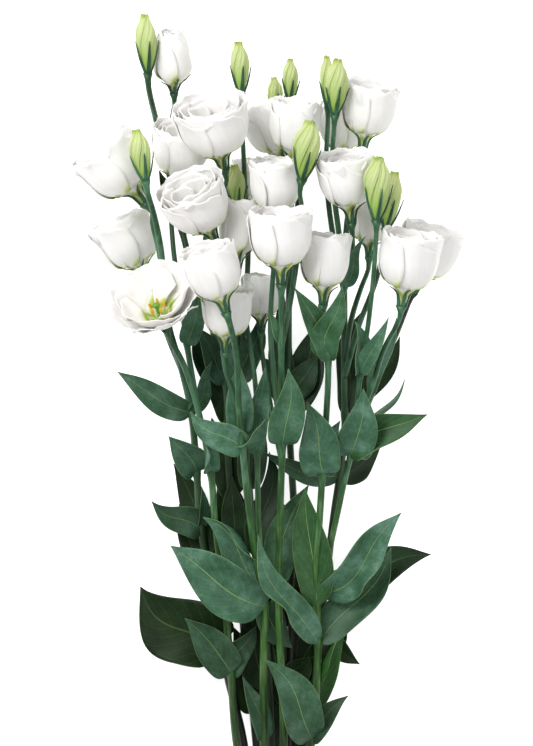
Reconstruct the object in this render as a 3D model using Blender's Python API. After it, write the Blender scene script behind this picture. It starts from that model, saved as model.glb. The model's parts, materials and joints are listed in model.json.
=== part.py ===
"""A bunch of white lisianthus, cut and tied, laid down on a table.

Nine flowering stems are gathered by one band of twine. Each stem branches at its leaf nodes, and every
branch ends in a bloom or a bud. The bunch lies on its back: +Y runs from the band to the flowers, +X to
the right and +Z up from the table. The origin is on the table, under the middle of the band.
Sizes and places are in millimetres, and new_object() turns them into Blender's metres.
"""

import math
import random

import bmesh
import bpy
from mathutils import Matrix, Vector

# Driving dimensions
STEM_RADIUS = 3.4  # at the cut end
STEM_TIP_RADIUS = 2.1  # where the main stem meets its own flower
SHOOT_RADIUS = 2.3  # a side shoot where it leaves the stem
PEDICEL_RADIUS = 1.6  # any shoot under its flower
PETALS = 5  # petals in each whorl
PETAL_THICKNESS = 0.8
PETAL_LAP = 1.2  # how far one edge stands out, and the other in, where petals overlap
LEAF_THICKNESS = 0.8
STEM_SIDES = 5  # a sepal grows from each side
INNER_ROOT = 0.36  # where the inner whorl leaves the tube, as a share of its side
SMALL_BLOOM = 19.5  # a bloom of this radius or less has plainer petals
SEPAL_WIDTH = 1.7
SEPAL_STEP = 0.9  # a sepal's thickness at the rim of its stalk
CUP_SHARE = 0.3  # of the last stretch under a flower, where its stalk swells
SEAT_GAP = 0.35  # between a flower and the stem that carries it
TIE_Y = 0.0
TIE_LENGTH = 12.0
TIE_THICKNESS = 1.5
TIE_SIDES = 20
TABLE_Z = 0.0
SHARP_ANGLE = math.radians(50)  # edges sharper than this stay sharp in the shading

WHITE = (0.90, 0.89, 0.86)
BUD_GREEN = (0.62, 0.72, 0.36)
STEM_GREEN = (0.10, 0.22, 0.10)
ANTHER_YELLOW = (0.85, 0.55, 0.05)
TWINE_BROWN = (0.55, 0.42, 0.26)

# How a bloom's side runs from its seat to its rim, as shares of its radius and height.
TIGHT_SIDE = ((0.15, 0.0), (0.28, 0.12), (0.62, 0.22), (0.98, 0.37), (1.0, 0.58), (0.88, 0.81), (0.6, 1.0))
CUP_SIDE = ((0.12, 0.0), (0.17, 0.13), (0.36, 0.25), (0.80, 0.36), (0.99, 0.56), (0.98, 0.79), (1.05, 1.0))
OPEN_SIDE = ((0.07, 0.0), (0.14, 0.14), (0.30, 0.29), (0.58, 0.45), (0.82, 0.63), (0.98, 0.84), (1.08, 1.0))
BUD_SIDE = ((0.26, 0.0), (0.52, 0.14), (0.84, 0.34), (1.0, 0.57), (0.86, 0.80), (0.54, 0.95), (0.34, 1.0))
# Where a leaf's corners stand along it, by its length.
LEAF_ROWS = ((60, (0.0, 0.12, 0.42, 0.78, 1.0)), (40, (0.0, 0.2, 0.62, 1.0)), (0, (0.0, 0.35, 1.0)))
# How a leaf's half width runs from its clasping base to its point.
LEAF_SIDE = ((0.00, 0.12), (0.12, 0.72), (0.32, 1.00), (0.55, 0.88), (0.78, 0.52), (0.93, 0.20), (1.00, 0.03))

# Each stem, from its cut end through the band to its own flower.
STEMS = {
    "a": ((-14, -70, 5.5), (-9.45, 0, 5.6), (-22, 110, 13), (-34, 160, 18), (-44, 220, 24), (-54, 272, 30),
          (-57, 315, 36), (-61, 360, 42), (-68, 392, 48), (-77, 423, 56), (-81, 452, 64), (-83, 482, 76),
          (-88, 508, 90)),
    "b": ((-9, -70, 14), (-6.3, 0, 11.2), (-27, 110, 28), (-31, 163, 35), (-36, 220, 41), (-43, 278, 49),
          (-46, 315, 55), (-57, 368, 63), (-67, 398, 70)),
    "c": ((-4, -70, 22), (-3.15, 0, 16.8), (-6, 110, 36), (-6, 190, 48), (-5, 214, 52), (-12, 250, 60),
          (-18, 294, 72), (-22, 335, 83), (-25, 370, 92), (-26, 400, 103)),
    "d": ((5, -70, 22), (3.15, 0, 16.8), (9, 110, 36), (6, 190, 50), (5, 232, 58), (7, 309, 76),
          (8, 337, 84), (7, 370, 93), (7, 414, 106)),
    "e": ((9, -70, 13), (6.3, 0, 11.2), (30, 110, 32), (35, 186, 44), (34, 214, 48), (33, 235, 52),
          (36, 280, 60), (38, 315, 67), (42, 402, 86)),
    "f": ((-5, -70, 5.5), (-3.15, 0, 5.6), (-12, 110, 12), (-24, 220, 18), (-30, 280, 24), (-34, 340, 32),
          (-35, 383, 37), (-47, 430, 40), (-64, 482, 35), (-73, 520, 26), (-82, 557, 26), (-88, 583, 48)),
    "g": ((0, -70, 14), (0, 0, 11.2), (0, 110, 20), (-7, 220, 30), (-15, 280, 38), (-20, 340, 48),
          (-24, 384, 54), (-30, 430, 62)),
    "h": ((5, -70, 5.5), (3.15, 0, 5.6), (14, 110, 11), (15, 220, 18), (17, 280, 24), (14, 336, 31),
          (13, 384, 36), (13, 444, 42), (14, 482, 54)),
    "i": ((14, -70, 5.5), (9.45, 0, 5.6), (26, 110, 13), (40, 220, 22), (47, 280, 28), (55, 340, 34),
          (55, 384, 38), (55, 430, 42), (55, 474, 46), (58, 512, 50)),
}

# Each flower: its seat, how far it leans right and noses up from the table in degrees, its radius and
# height, and how open it is (0 tight, 0.5 a cup, 1 wide open). "from" names the stem or the flower whose
# shoot its own shoot leaves, at that distance along Y, and "by" the points that the shoot passes.
BLOOMS = {
    "01": {"seat": (-74, 602, 50), "lean": -2, "nod": 25, "size": (13, 50), "open": 0.0,
           "from": ("f", 515), "by": ((-76, 555, 18), (-76, 583, 35))},
    "02": {"seat": (-36, 543, 82), "lean": -13, "nod": 25, "size": (26, 54), "open": 0.55,
           "from": ("f", 440), "by": ((-52, 480, 48), (-42, 518, 62))},
    "03": {"seat": (-75, 531, 42), "lean": 12, "nod": 25, "size": (21, 49), "open": 0.55,
           "from": ("b", 366), "by": ((-64, 412, 60), (-68, 441, 53), (-74, 480, 46), (-76, 503, 42))},
    "04": {"seat": (-96, 518, 66), "lean": -38, "nod": 10, "size": (25, 56), "open": 0.5,
           "from": ("a", 450), "by": ((-85, 482, 60), (-90, 503, 62))},
    "05": {"seat": (-43, 489, 85), "lean": -25, "nod": 30, "size": (24, 52), "open": 0.6,
           "from": ("g", None), "by": ((-38, 466, 72),)},
    "06": {"seat": (-96, 462, 16.5), "lean": -26, "nod": 8, "size": (22.5, 52), "open": 0.5, "turn": 54,
           "from": ("a", 392), "by": ((-80, 420, 34),)},
    "07": {"seat": (-80, 424, 80), "lean": -20, "nod": 45, "size": (31, 42), "open": 1.0,
           "from": ("b", None), "by": ()},
    "08": {"seat": (-34, 435, 121), "lean": -18, "nod": 15, "size": (19.5, 52), "open": 0.45,
           "from": ("c", None), "by": ()},
    "09": {"seat": (-35, 406, 83), "lean": 3, "nod": 10, "size": (17.5, 48), "open": 0.5,
           "from": ("c", 332), "by": ((-28, 370, 82),)},
    "10": {"seat": (-26, 467, 74), "lean": 2, "nod": 5, "size": (14, 54), "open": 0.35,
           "from": ("c", 214), "by": ((-8, 250, 52), (-10, 280, 56), (-11, 328, 62), (-12, 377, 64),
                                      (-17, 414, 61), (-22, 444, 64))},
    "11": {"seat": (7, 456, 118), "lean": 0, "nod": 14, "size": (22, 56), "open": 0.5,
           "from": ("d", None), "by": ()},
    "12": {"seat": (3, 498, 84), "lean": 0, "nod": 12, "size": (18.5, 52), "open": 0.55,
           "from": ("d", 336), "by": ((3, 375, 80), (-1, 420, 80), (1, 465, 81))},
    "13": {"seat": (15, 545, 66), "lean": 4, "nod": 14, "size": (18, 52), "open": 0.45,
           "from": ("h", None), "by": ((14, 518, 58),)},
    "14": {"seat": (10, 548, 36), "lean": -23, "nod": 6, "size": (17.5, 50), "open": 0.45,
           "from": ("h", 478), "by": ((15, 512, 40),)},
    "15": {"seat": (-14, 514, 16), "lean": -2, "nod": 3, "size": (14, 41), "open": 0.5,
           "from": ("h", 416), "by": ((6, 455, 28), (-7, 490, 19))},
    "16": {"seat": (68, 558, 60), "lean": 8, "nod": 15, "size": (19.5, 52), "open": 0.5,
           "from": ("i", None), "by": ()},
    "17": {"seat": (56, 548, 30), "lean": -5, "nod": 6, "size": (17, 50), "open": 0.5,
           "from": ("i", 488), "by": ((59, 520, 36),)},
    "18": {"seat": (59, 502, 99), "lean": -6, "nod": 15, "size": (21, 52), "open": 0.55,
           "from": ("e", 400), "by": ((48, 430, 75), (56, 460, 73), (60, 478, 79))},
    "19": {"seat": (73, 478, 64), "lean": 2, "nod": 8, "size": (14, 44), "open": 0.4,
           "from": ("i", 398), "by": ((60, 430, 48), (68, 456, 57))},
    "20": {"seat": (38, 441, 96), "lean": 3, "nod": 6, "size": (17.5, 53), "open": 0.45,
           "from": ("e", None), "by": ()},
    "21": {"seat": (96, 440, 110), "lean": 8, "nod": 15, "size": (21.5, 56), "open": 0.45,
           "from": ("bud_09", 354), "by": ((75, 381, 85), (83, 407, 95))},
    "22": {"seat": (108, 452, 14.7), "lean": 20, "nod": 10, "size": (22, 54), "open": 0.55, "turn": 54,
           "from": ("bud_09", 328), "by": ((68, 354, 60), (80, 386, 45), (96, 422, 29))},
    "23": {"seat": (-8, 423, 52), "lean": 0, "nod": 5, "size": (14, 42), "open": 0.4,
           "from": ("d", 324), "by": ((0, 360, 58), (-6, 396, 50))},
}
BUDS = {
    "01": {"seat": (-93, 615, 76), "lean": -3, "nod": 4, "size": (7.8, 43), "from": ("f", None), "by": ()},
    "02": {"seat": (-23, 600, 72), "lean": -3, "nod": 8, "size": (7, 38),
           "from": ("g", 380), "by": ((-21, 430, 42), (-18, 480, 40), (-20, 523, 46), (-22, 572, 60))},
    "03": {"seat": (14, 597, 26), "lean": 0, "nod": 6, "size": (6, 32),
           "from": ("h", 440), "by": ((17, 480, 31), (20, 530, 20), (17, 570, 22))},
    "04": {"seat": (4, 588, 14), "lean": -5, "nod": 4, "size": (5.6, 28),
           "from": ("h", 440), "by": ((13, 480, 26), (11, 530, 14), (7, 563, 12))},
    "05": {"seat": (42, 591, 64), "lean": -1, "nod": 6, "size": (5.6, 37),
           "from": ("i", 452), "by": ((46, 495, 51), (41, 540, 56))},
    "06": {"seat": (47, 583, 88), "lean": 3, "nod": 8, "size": (8, 41),
           "from": ("i", 466), "by": ((50, 500, 58), (45, 540, 70))},
    "07": {"seat": (22, 533, 124), "lean": 8, "nod": 8, "size": (9.5, 43),
           "from": ("d", 410), "by": ((13, 440, 101), (18, 470, 96), (21, 500, 99), (22, 514, 109))},
    "08": {"seat": (-26, 513, 52), "lean": -4, "nod": 5, "size": (7.5, 34),
           "from": ("g", 426), "by": ((-29, 465, 54), (-27, 495, 50))},
    "09": {"seat": (77, 503, 129), "lean": 1, "nod": 8, "size": (9.7, 46),
           "from": ("e", 214), "by": ((38, 232, 46), (47, 272, 54), (55, 310, 64), (59, 328, 69),
                                      (63, 355, 77), (66, 390, 88), (71, 422, 100), (75, 460, 114))},
    "10": {"seat": (85, 498, 90), "lean": 9, "nod": 8, "size": (8, 42),
           "from": ("i", 386), "by": ((65, 424, 58), (79, 462, 72))},
    "11": {"seat": (-94, 533, 104), "lean": -10, "nod": 10, "size": (8, 38), "from": ("a", None), "by": ()},
}

# Each leaf: the stem or shoot that it clasps, the distance along Y there, its point, its width, how far
# it rolls about its rib in degrees, and how high it arches and bends sideways.
LEAVES = (
    ("c", 214, (-76, 260, 66), 38, 0, 9, -4),
    ("c", 214, (16, 181, 34), 22, -15, 0, 4),
    ("bloom_10", 224, (-52, 281, 56), 29, -10, 0, 5),
    ("c", 113, (-22, 160, 45), 16, 20, 2, 2),
    ("c", 335, (-61, 361, 82), 22, -10, 3, -3),
    ("c", 335, (-4, 356, 97), 13, 55, 3, 0),
    ("bloom_09", 346, (-25, 398, 79), 20, 0, -2, 0),
    ("bloom_10", 328, (-5, 394, 76), 16, 5, 0, -2),
    ("d", 337, (12, 393, 112), 25, 0, 5, 3),
    ("d", 337, (-1, 366, 76), 8, 40, 0, -3),
    ("d", 232, (28, 305, 40), 26, 5, -6, -6),
    ("d", 412, (-3, 436, 103), 7, 20, 2, 0),
    ("e", 112, (-5, 174, 60), 31, 10, 11, 8),
    ("e", 112, (58, 145, 36), 17, -10, 2, -3),
    ("e", 186, (-10, 269, 80), 22, 15, 7, -9),
    ("e", 186, (90, 258, 44), 29, -15, -2, 5),
    ("e", 214, (25, 303, 62), 28, 0, 1, 0),
    ("bud_09", 222, (97, 285, 74), 29, 10, 6, 5),
    ("e", 315, (26, 368, 91), 30, -5, 5, 3),
    ("e", 315, (52, 354, 50), 18, 20, -2, 0),
    ("e", 400, (17, 453, 108), 19, 10, 4, 3),
    ("e", 400, (52, 454, 113), 21, -5, 4, -3),
    ("bloom_18", 455, (70, 492, 92), 10, 20, 3, -2),
    ("bud_09", 328, (68, 378, 99), 28, 0, 5, 3),
    ("bud_09", 328, (116, 359, 84), 25, -10, 4, -5),
    ("bud_09", 390, (62, 428, 106), 15, 35, 2, 3),
    ("bud_09", 390, (86, 431, 117), 13, -20, 4, 2),
    ("bloom_22", 374, (94, 432, 58), 11, -20, 0, 0),
    ("bloom_22", 352, (100, 385, 66), 9, 60, 4, 3),
    ("b", 163, (-66, 204, 43), 28, -10, 2, 3),
    ("b", 163, (-12, 198, 39), 20, 10, 0, -2),
    ("b", 315, (-52, 346, 75), 15, 0, 2, 2),
    ("bloom_03", 412, (-54, 456, 72), 16, -15, 2, 3),
    ("f", 500, (-86, 545, 20), 15, 20, 0, 3),
    ("a", 184, (-100, 227, 24), 52, 0, 3, -7),
    ("a", 250, (-75, 321, 24), 23, -10, -4, 4),
    ("a", 272, (-91, 293, 42), 22, 10, 3, -3),
    ("a", 272, (-53, 304, 46), 9, 30, 1, 2),
    ("a", 315, (-78, 342, 50), 24, -10, 3, 3),
    ("a", 360, (-117, 391, 46), 20, 0, 3, -3),
    ("a", 360, (-45, 399, 52), 12, 20, 0, 2),
    ("a", 228, (-71, 264, 16), 14, 20, 0, 2),
    ("f", 262, (-30, 312, 33), 19, 0, 2, 0),
    ("f", 383, (-60, 426, 48), 18, 10, 3, 2),
    ("f", 220, (-52, 252, 8), 20, -10, 0, 2),
    ("g", 384, (-42, 418, 66), 12, 20, 2, 0),
    ("h", 147, (2, 170, 23), 15, 20, 0, 2),
    ("h", 147, (28, 176, 20), 15, -10, 0, 2),
    ("h", 375, (35, 404, 34), 21, 0, 2, 2),
    ("h", 366, (-8, 402, 38), 19, 0, 0, 3),
    ("h", 262, (-10, 300, 14), 19, -10, 0, 2),
    ("i", 185, (67, 168, 24), 18, 10, 2, -3),
    ("i", 228, (121, 252, 32), 26, 0, 4, -5),
    ("i", 312, (-6, 330, 46), 15, 0, 3, -6),
    ("i", 312, (84, 336, 22), 20, 15, 0, 3),
    ("i", 360, (98, 418, 14), 19, 0, -2, 4),
)


def along(points, share):
    """The point at that share of a smooth curve through the points (Catmull-Rom)."""
    spans = len(points) - 1
    place = min(max(share, 0.0), 1.0) * spans
    i = min(int(place), spans - 1)
    t = place - i
    p1, p2 = Vector(points[i]), Vector(points[i + 1])
    p0 = Vector(points[i - 1]) if i > 0 else 2 * p1 - p2
    p3 = Vector(points[i + 2]) if i + 2 <= spans else 2 * p2 - p1
    return 0.5 * (2 * p1 + (p2 - p0) * t + (2 * p0 - 5 * p1 + 4 * p2 - p3) * t * t
                  + (3 * p1 - 3 * p2 + p3 - p0) * t ** 3)


def at_y(points, y):
    """Where a path crosses that distance along Y. Paths run straight between their points."""
    start, end = next((a, b) for a, b in zip(points, points[1:]) if y <= b[1] or b is points[-1])
    return Vector(start).lerp(Vector(end), (y - start[1]) / (end[1] - start[1]))


def axis_of(flower):
    """The way a flower points."""
    lean, nod = math.radians(flower["lean"]), math.radians(flower["nod"])
    return Vector((math.sin(lean) * math.cos(nod), math.cos(lean) * math.cos(nod), math.sin(nod)))


def shoot_path(name, flowers):
    """The points that a flower's shoot follows: from the stem that it leaves, or that stem's whole path."""
    flower = flowers[name]
    parent, y = flower["from"]
    seat, axis = Vector(flower["seat"]), axis_of(flower)
    end = (seat - axis * 10, seat - axis * SEAT_GAP)
    if y is None:
        return (*STEMS[parent], *flower["by"], *end)
    return (at_y(shoot_path(trunk_of(parent, flowers), flowers), y), *flower["by"], *end)


def trunk_of(parent, flowers):
    """The flower at the end of a main stem, from the stem's letter. A flower's own name is given back."""
    return next((n for n in flowers if flowers[n]["from"] == (parent, None)), parent)


def stem_of(name, flowers):
    """The letter of the main stem that carries a flower."""
    while name not in STEMS:
        name = flowers[name]["from"][0]
    return name


def new_object(name, bm, material=None):
    """A mesh object from a bmesh whose points are in millimetres."""
    bmesh.ops.transform(bm, matrix=Matrix.Scale(0.001, 4), verts=bm.verts)
    mesh = bpy.data.meshes.new(name)
    bm.to_mesh(mesh)
    bm.free()
    smoothed(mesh)
    made = bpy.data.objects.new(name, mesh)
    bpy.context.scene.collection.objects.link(made)
    if material:
        mesh.materials.append(material)
    return made


def smoothed(mesh):
    """Shades a mesh smooth, up to its real edges."""
    mesh.shade_smooth()
    mesh.set_sharp_from_angle(angle=SHARP_ANGLE)


def ring(bm, points):
    return [bm.verts.new(p) for p in points]


def skin(bm, lower, upper, closed=True):
    """Triangles between two rows of as many points, split alike so that a blade's two faces never cross."""
    count = len(lower)
    for i in range(count if closed else count - 1):
        j = (i + 1) % count
        bm.faces.new((lower[i], lower[j], upper[j]))
        bm.faces.new((lower[i], upper[j], upper[i]))


def stalk(path, radii, flower, rng):
    """A stem along a path, thinning from one radius to the other, with its flower's five sepals at its end."""
    bm = bmesh.new()
    foot = foot_radius(flower)
    points = [Vector(point) for point in path]
    points.insert(-1, points[-1].lerp(points[-2], CUP_SHARE))
    rows = []
    for k, centre in enumerate(points):
        heading = (points[min(k + 1, len(points) - 1)] - points[max(k - 1, 0)]).normalized()
        side = heading.cross(Vector((0, 0, 1))).normalized()
        rise = side.cross(heading)
        radius = radii[0] + (radii[1] - radii[0]) * k / len(points)
        if k == len(points) - 1:
            radius = foot + SEPAL_STEP
        turns = [2 * math.pi * (i + 0.5) / STEM_SIDES for i in range(STEM_SIDES)]
        rows.append(ring(bm, [centre + (side * math.cos(a) + rise * math.sin(a)) * radius for a in turns]))
    for lower, upper in zip(rows, rows[1:]):
        skin(bm, lower, upper)
    bm.faces.new(rows[0][::-1])
    inner = ring(bm, [points[-1] + (v.co - points[-1]) * foot / (foot + SEPAL_STEP) for v in rows[-1]])
    bm.faces.new(inner)
    for i in range(STEM_SIDES):
        j = (i + 1) % STEM_SIDES
        base = (rows[-1][i], rows[-1][j], inner[j], inner[i])
        out = (rows[-1][i].co + rows[-1][j].co - points[-1] * 2).normalized()
        add_sepal(bm, flower, base, (points[-1], out, heading), rng.uniform(-0.04, 0.04))
    bmesh.ops.recalc_face_normals(bm, faces=bm.faces)
    return new_object("stalk", bm)


def add_sepal(bm, flower, base, frame, draw):
    """A narrow sepal that stands up from four points of the stalk's rim and bends outwards to a point."""
    radius, height = flower["size"]
    if "open" in flower:
        bend, tip = wall(flower, 0.24, 0), wall(flower, 0.44 + draw, 0)
        bend, tip = (bend[0] + 1.6, bend[1] - 0.8), (tip[0] + 2.8, tip[1] - 1.5)
    else:
        bend, tip = (radius * 0.94 + 1.2, height * 0.26), (radius + 2.2, height * (0.54 + draw))
    start, out, heading = frame
    side = out.cross(heading) * SEPAL_WIDTH / 2
    centre = start + out * bend[0] + heading * bend[1]
    quad = ring(bm, [centre + side * a + out * b for a, b in ((-1, 0.4), (1, 0.4), (1, -0.4), (-1, -0.4))])
    skin(bm, base, quad)
    point = bm.verts.new(start + out * tip[0] + heading * tip[1])
    point.co.z = max(point.co.z, TABLE_Z + SEAT_GAP)
    for k in range(4):
        bm.faces.new((quad[k], quad[(k + 1) % 4], point))


def side_of(openness, share):
    """(radius, height) at that share of a bloom's side, as shares of its size."""
    first, second, mix = ((TIGHT_SIDE, CUP_SIDE, openness * 2) if openness < 0.5
                          else (CUP_SIDE, OPEN_SIDE, openness * 2 - 1))
    sides = [along([(r, h, 0) for r, h in side], share) for side in (first, second)]
    return sides[0].lerp(sides[1], mix).xy


def wall(flower, share, depth, scale=(1.0, 1.0)):
    """(radius, height) in millimetres on a petal: depth 0 is its outer face, 1 its inner one."""
    radius, height = flower["size"]
    radius, height = radius * scale[0], height * scale[1]
    here, ahead = side_of(flower["open"], share), side_of(flower["open"], share + 0.02)
    run = Vector(((ahead.x - here.x) * radius, (ahead.y - here.y) * height)).normalized()
    inward = PETAL_THICKNESS * depth
    return here.x * radius - run.y * inward, here.y * height + run.x * inward


def petal_point(flower, petal, share, across, depth, whorl, draw):
    """A point of a petal in the bloom's own frame. across runs from -1, the lapped edge, to 1."""
    free = min(max((share - whorl["root"]) / 0.2, 0.0), 1.0)
    width = 180 / PETALS + whorl["lap"] * free * (1 - 0.9 * max(share - 0.8, 0.0) / 0.2)
    angle = math.radians(360 / PETALS * petal + whorl["turn"] + width * across)
    radius, height = wall(flower, share - 0.07 * abs(across) * (share > 0.95), depth, whorl["scale"])
    radius += PETAL_LAP * across * free + draw * free * share
    return Vector((math.cos(angle) * radius, math.sin(angle) * radius, height + 0.8 * draw * free))


def foot_radius(flower):
    """The radius inside a flower's sepals, whose five flat sides clear the flower's foot."""
    side = side_of(flower["open"], 0.0) if "open" in flower else Vector(BUD_SIDE[0])
    return side.x * flower["size"][0] / math.cos(math.pi / STEM_SIDES) + SEAT_GAP


def placed(bm, flower, turn=0.0):
    """Turns a bloom from its own frame to its seat."""
    facing = axis_of(flower).to_track_quat("Z", "Y").to_matrix().to_4x4()
    spin = Matrix.Rotation(math.radians(turn), 4, "Z")
    bmesh.ops.transform(bm, matrix=Matrix.Translation(Vector(flower["seat"])) @ facing @ spin, verts=bm.verts)


def add_whorl(bm, flower, whorl, rng):
    """Five lapped petals that grow out of one ring. Returns the ring's outer and inner points."""
    roots = []
    for depth in (0, 1):
        radius, height = wall(flower, whorl["root"], depth, whorl["scale"])
        turns = [math.radians(180 / PETALS * (i - 1) + whorl["turn"]) for i in range(2 * PETALS)]
        roots.append(ring(bm, [(math.cos(a) * radius, math.sin(a) * radius, height) for a in turns]))
    for petal in range(PETALS):
        faces = []
        draws = [rng.uniform(-0.5, 0.9) for _ in range(3)]
        for depth in (0, 1):
            start = [roots[depth][(2 * petal + k) % (2 * PETALS)] for k in range(3)]
            rows = [start] + [ring(bm, [petal_point(flower, petal, s, k - 1, depth, whorl, draws[k])
                                        for k in range(3)]) for s in whorl["rows"]]
            for lower, upper in zip(rows, rows[1:]):
                skin(bm, lower, upper, closed=False)
            faces.append(rows)
        outline = [[row[0] for row in rows] + [rows[-1][1]] + [row[2] for row in rows[::-1]]
                   for rows in faces]
        skin(bm, outline[0], outline[1], closed=False)
    return roots


def make_bloom(name, flower, material, rng):
    """A bloom: a narrow tube, five lapped outer petals and five inner ones, in one skin."""
    bm = bmesh.new()
    core = 0.72 if flower["open"] > 0.9 else 0.62
    rows = (0.53, 0.75, 1.0) if flower["size"][0] > SMALL_BLOOM else (0.57, 1.0)
    outer = {"root": 0.30, "rows": rows, "scale": (1.0, 1.0), "turn": 0.0, "lap": 13}
    facing = flower["nod"] > 20 and len(rows) == 3
    inner = {"root": INNER_ROOT, "rows": (0.68, 1.0) if facing else (1.0,), "scale": (core, 0.93),
             "turn": 36.0, "lap": 15}
    outer_roots = add_whorl(bm, flower, outer, rng)
    inner_roots = add_whorl(bm, flower, inner, rng)
    turns = [math.radians(180 / PETALS * (i - 1)) for i in range(2 * PETALS)]
    below = []
    for share in (0.0, 0.15) if len(rows) == 3 else (0.0,):
        radius, height = wall(flower, share, 0)
        below.append(ring(bm, [(math.cos(a) * radius, math.sin(a) * radius, height) for a in turns]))
    for lower, upper in zip(below, below[1:] + [outer_roots[0]]):
        skin(bm, lower, upper)
    bm.faces.new(below[0][::-1])
    shifted = inner_roots[0][-1:] + inner_roots[0][:-1]
    skin(bm, outer_roots[1], shifted)
    bm.faces.new(inner_roots[1])
    bmesh.ops.recalc_face_normals(bm, faces=bm.faces)
    placed(bm, flower, flower.get("turn", rng.uniform(0, 72)))
    if "turn" in flower:
        whole = bm.verts[:] + bm.edges[:] + bm.faces[:]
        table = (0, 0, TABLE_Z)
        cut = bmesh.ops.bisect_plane(bm, geom=whole, plane_co=table, plane_no=(0, 0, -1), clear_outer=True)
        rim = [edge for edge in cut["geom_cut"] if isinstance(edge, bmesh.types.BMEdge)]
        bmesh.ops.holes_fill(bm, edges=rim)
    return new_object(name, bm, material)


def make_stamens(name, flower, material):
    """The knob in the middle of an open bloom and the five anthers round it, on their stalks."""
    bm = bmesh.new()
    floor = wall(flower, INNER_ROOT, 1, (0.72, 0.93))[1] + SEAT_GAP
    rows = []
    for radius, height in ((2.4, 0.0), (1.7, 5.0), (1.5, 9.0), (2.7, 11.5), (1.6, 13.5)):
        turns = [2 * math.pi * i / 6 for i in range(6)]
        rows.append(ring(bm, [(math.cos(a) * radius, math.sin(a) * radius, floor + height) for a in turns]))
    for lower, upper in zip(rows, rows[1:]):
        skin(bm, lower, upper)
    bm.faces.new(rows[0][::-1])
    bm.faces.new(rows[-1])
    bmesh.ops.recalc_face_normals(bm, faces=bm.faces)
    placed(bm, flower)
    base = new_object("knob", bm)
    growth = []
    for i in range(PETALS):
        angle = 2 * math.pi * (i + 0.5) / PETALS
        out = Vector((math.cos(angle), math.sin(angle), 0))
        side = Vector((-math.sin(angle), math.cos(angle), 0))
        bm = bmesh.new()
        rows = []
        for reach, height, half, deep in ((0.9, 1.6, 0.45, 0.45), (4.6, 7.4, 0.45, 0.45),
                                          (5.0, 7.8, 1.2, 1.0), (5.9, 12.4, 0.9, 0.8)):
            centre = out * reach + Vector((0, 0, floor + height))
            rows.append(ring(bm, [centre + side * half * a + out * deep * b
                                  for a, b in ((-1, -1), (1, -1), (1, 1), (-1, 1))]))
        for lower, upper in zip(rows, rows[1:]):
            skin(bm, lower, upper)
        bm.faces.new(rows[0][::-1])
        bm.faces.new(rows[-1])
        bmesh.ops.recalc_face_normals(bm, faces=bm.faces)
        placed(bm, flower)
        growth.append(new_object("anther", bm))
    return joined(base, growth, name, material)


def make_bud(name, flower, material, rng):
    """A closed bud: five petal edges wind round it."""
    bm = bmesh.new()
    radius, height = flower["size"]
    rows = []
    for share in (0.0, 0.17, 0.38, 0.60, 0.80, 1.0):
        here = along([(r, h, 0) for r, h in BUD_SIDE], share)
        points = []
        for i in range(2 * PETALS):
            angle = math.radians(180 / PETALS * i + 75 * share)
            reach = radius * here.x * (1.0 if i % 2 else 0.84)
            points.append((math.cos(angle) * reach, math.sin(angle) * reach, here.y * height))
        rows.append(ring(bm, points))
    for lower, upper in zip(rows, rows[1:]):
        skin(bm, lower, upper)
    bm.faces.new(rows[0][::-1])
    bm.faces.new(rows[-1])
    bmesh.ops.recalc_face_normals(bm, faces=bm.faces)
    placed(bm, flower, rng.uniform(0, 72))
    return new_object(name, bm, material)


def make_leaf(base, leaf):
    """A leaf blade from the middle of its stem to its point, folded a little along its rib."""
    _, _, tip, width, roll, arch, bend = leaf
    bm = bmesh.new()
    run = Vector(tip) - base
    rows = next(rows for length, rows in LEAF_ROWS if run.length > length)
    heading = run.normalized()
    side = heading.cross(Vector((0, 0, 1))).normalized()
    turn = Matrix.Rotation(math.radians(roll), 3, heading)
    side = turn @ side
    up = side.cross(heading)
    faces = []
    for depth in (-0.5, 0.5):
        grid = []
        for share in rows:
            swell = 4 * share * (1 - share)
            rib = base + run * share + up * (arch * swell) + side * (bend * swell)
            half = width / 2 * along([(s, w, 0) for s, w in LEAF_SIDE], leaf_span(share)).y
            fold = up * half * 0.16
            points = (rib - side * half + fold, rib, rib + side * half + fold)
            grid.append(ring(bm, [p + up * LEAF_THICKNESS * depth for p in points]))
        for lower, upper in zip(grid, grid[1:]):
            skin(bm, lower, upper, closed=False)
        faces.append(grid)
    outline = [grid[0] + [row[2] for row in grid[1:]] + grid[-1][1::-1] + [row[0] for row in grid[-2:0:-1]]
               for grid in faces]
    skin(bm, outline[0], outline[1])
    bmesh.ops.recalc_face_normals(bm, faces=bm.faces)
    return new_object("leaf", bm)


def leaf_span(share):
    """The curve share of LEAF_SIDE at that share of the leaf's length."""
    low, high = 0.0, 1.0
    points = [(s, w, 0) for s, w in LEAF_SIDE]
    for _ in range(20):
        middle = (low + high) / 2
        low, high = (middle, high) if along(points, middle).x < share else (low, middle)
    return low


def joined(base, others, name, material):
    """One body from a stem and what grows on it: a Boolean union on a collection, applied."""
    growth = bpy.data.collections.new("growth")
    bpy.context.scene.collection.children.link(growth)
    for other in others:
        bpy.context.scene.collection.objects.unlink(other)
        growth.objects.link(other)
    union = base.modifiers.new("union", "BOOLEAN")
    union.operation = "UNION"
    union.operand_type = "COLLECTION"
    union.collection = growth
    bpy.context.view_layer.update()
    evaluated = base.evaluated_get(bpy.context.evaluated_depsgraph_get())
    whole = bpy.data.meshes.new_from_object(evaluated)
    base.modifiers.clear()
    base.data = whole
    base.name = name
    whole.materials.clear()
    whole.materials.append(material)
    smoothed(whole)
    for other in others:
        bpy.data.objects.remove(other)
    bpy.data.collections.remove(growth)
    return base


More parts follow.
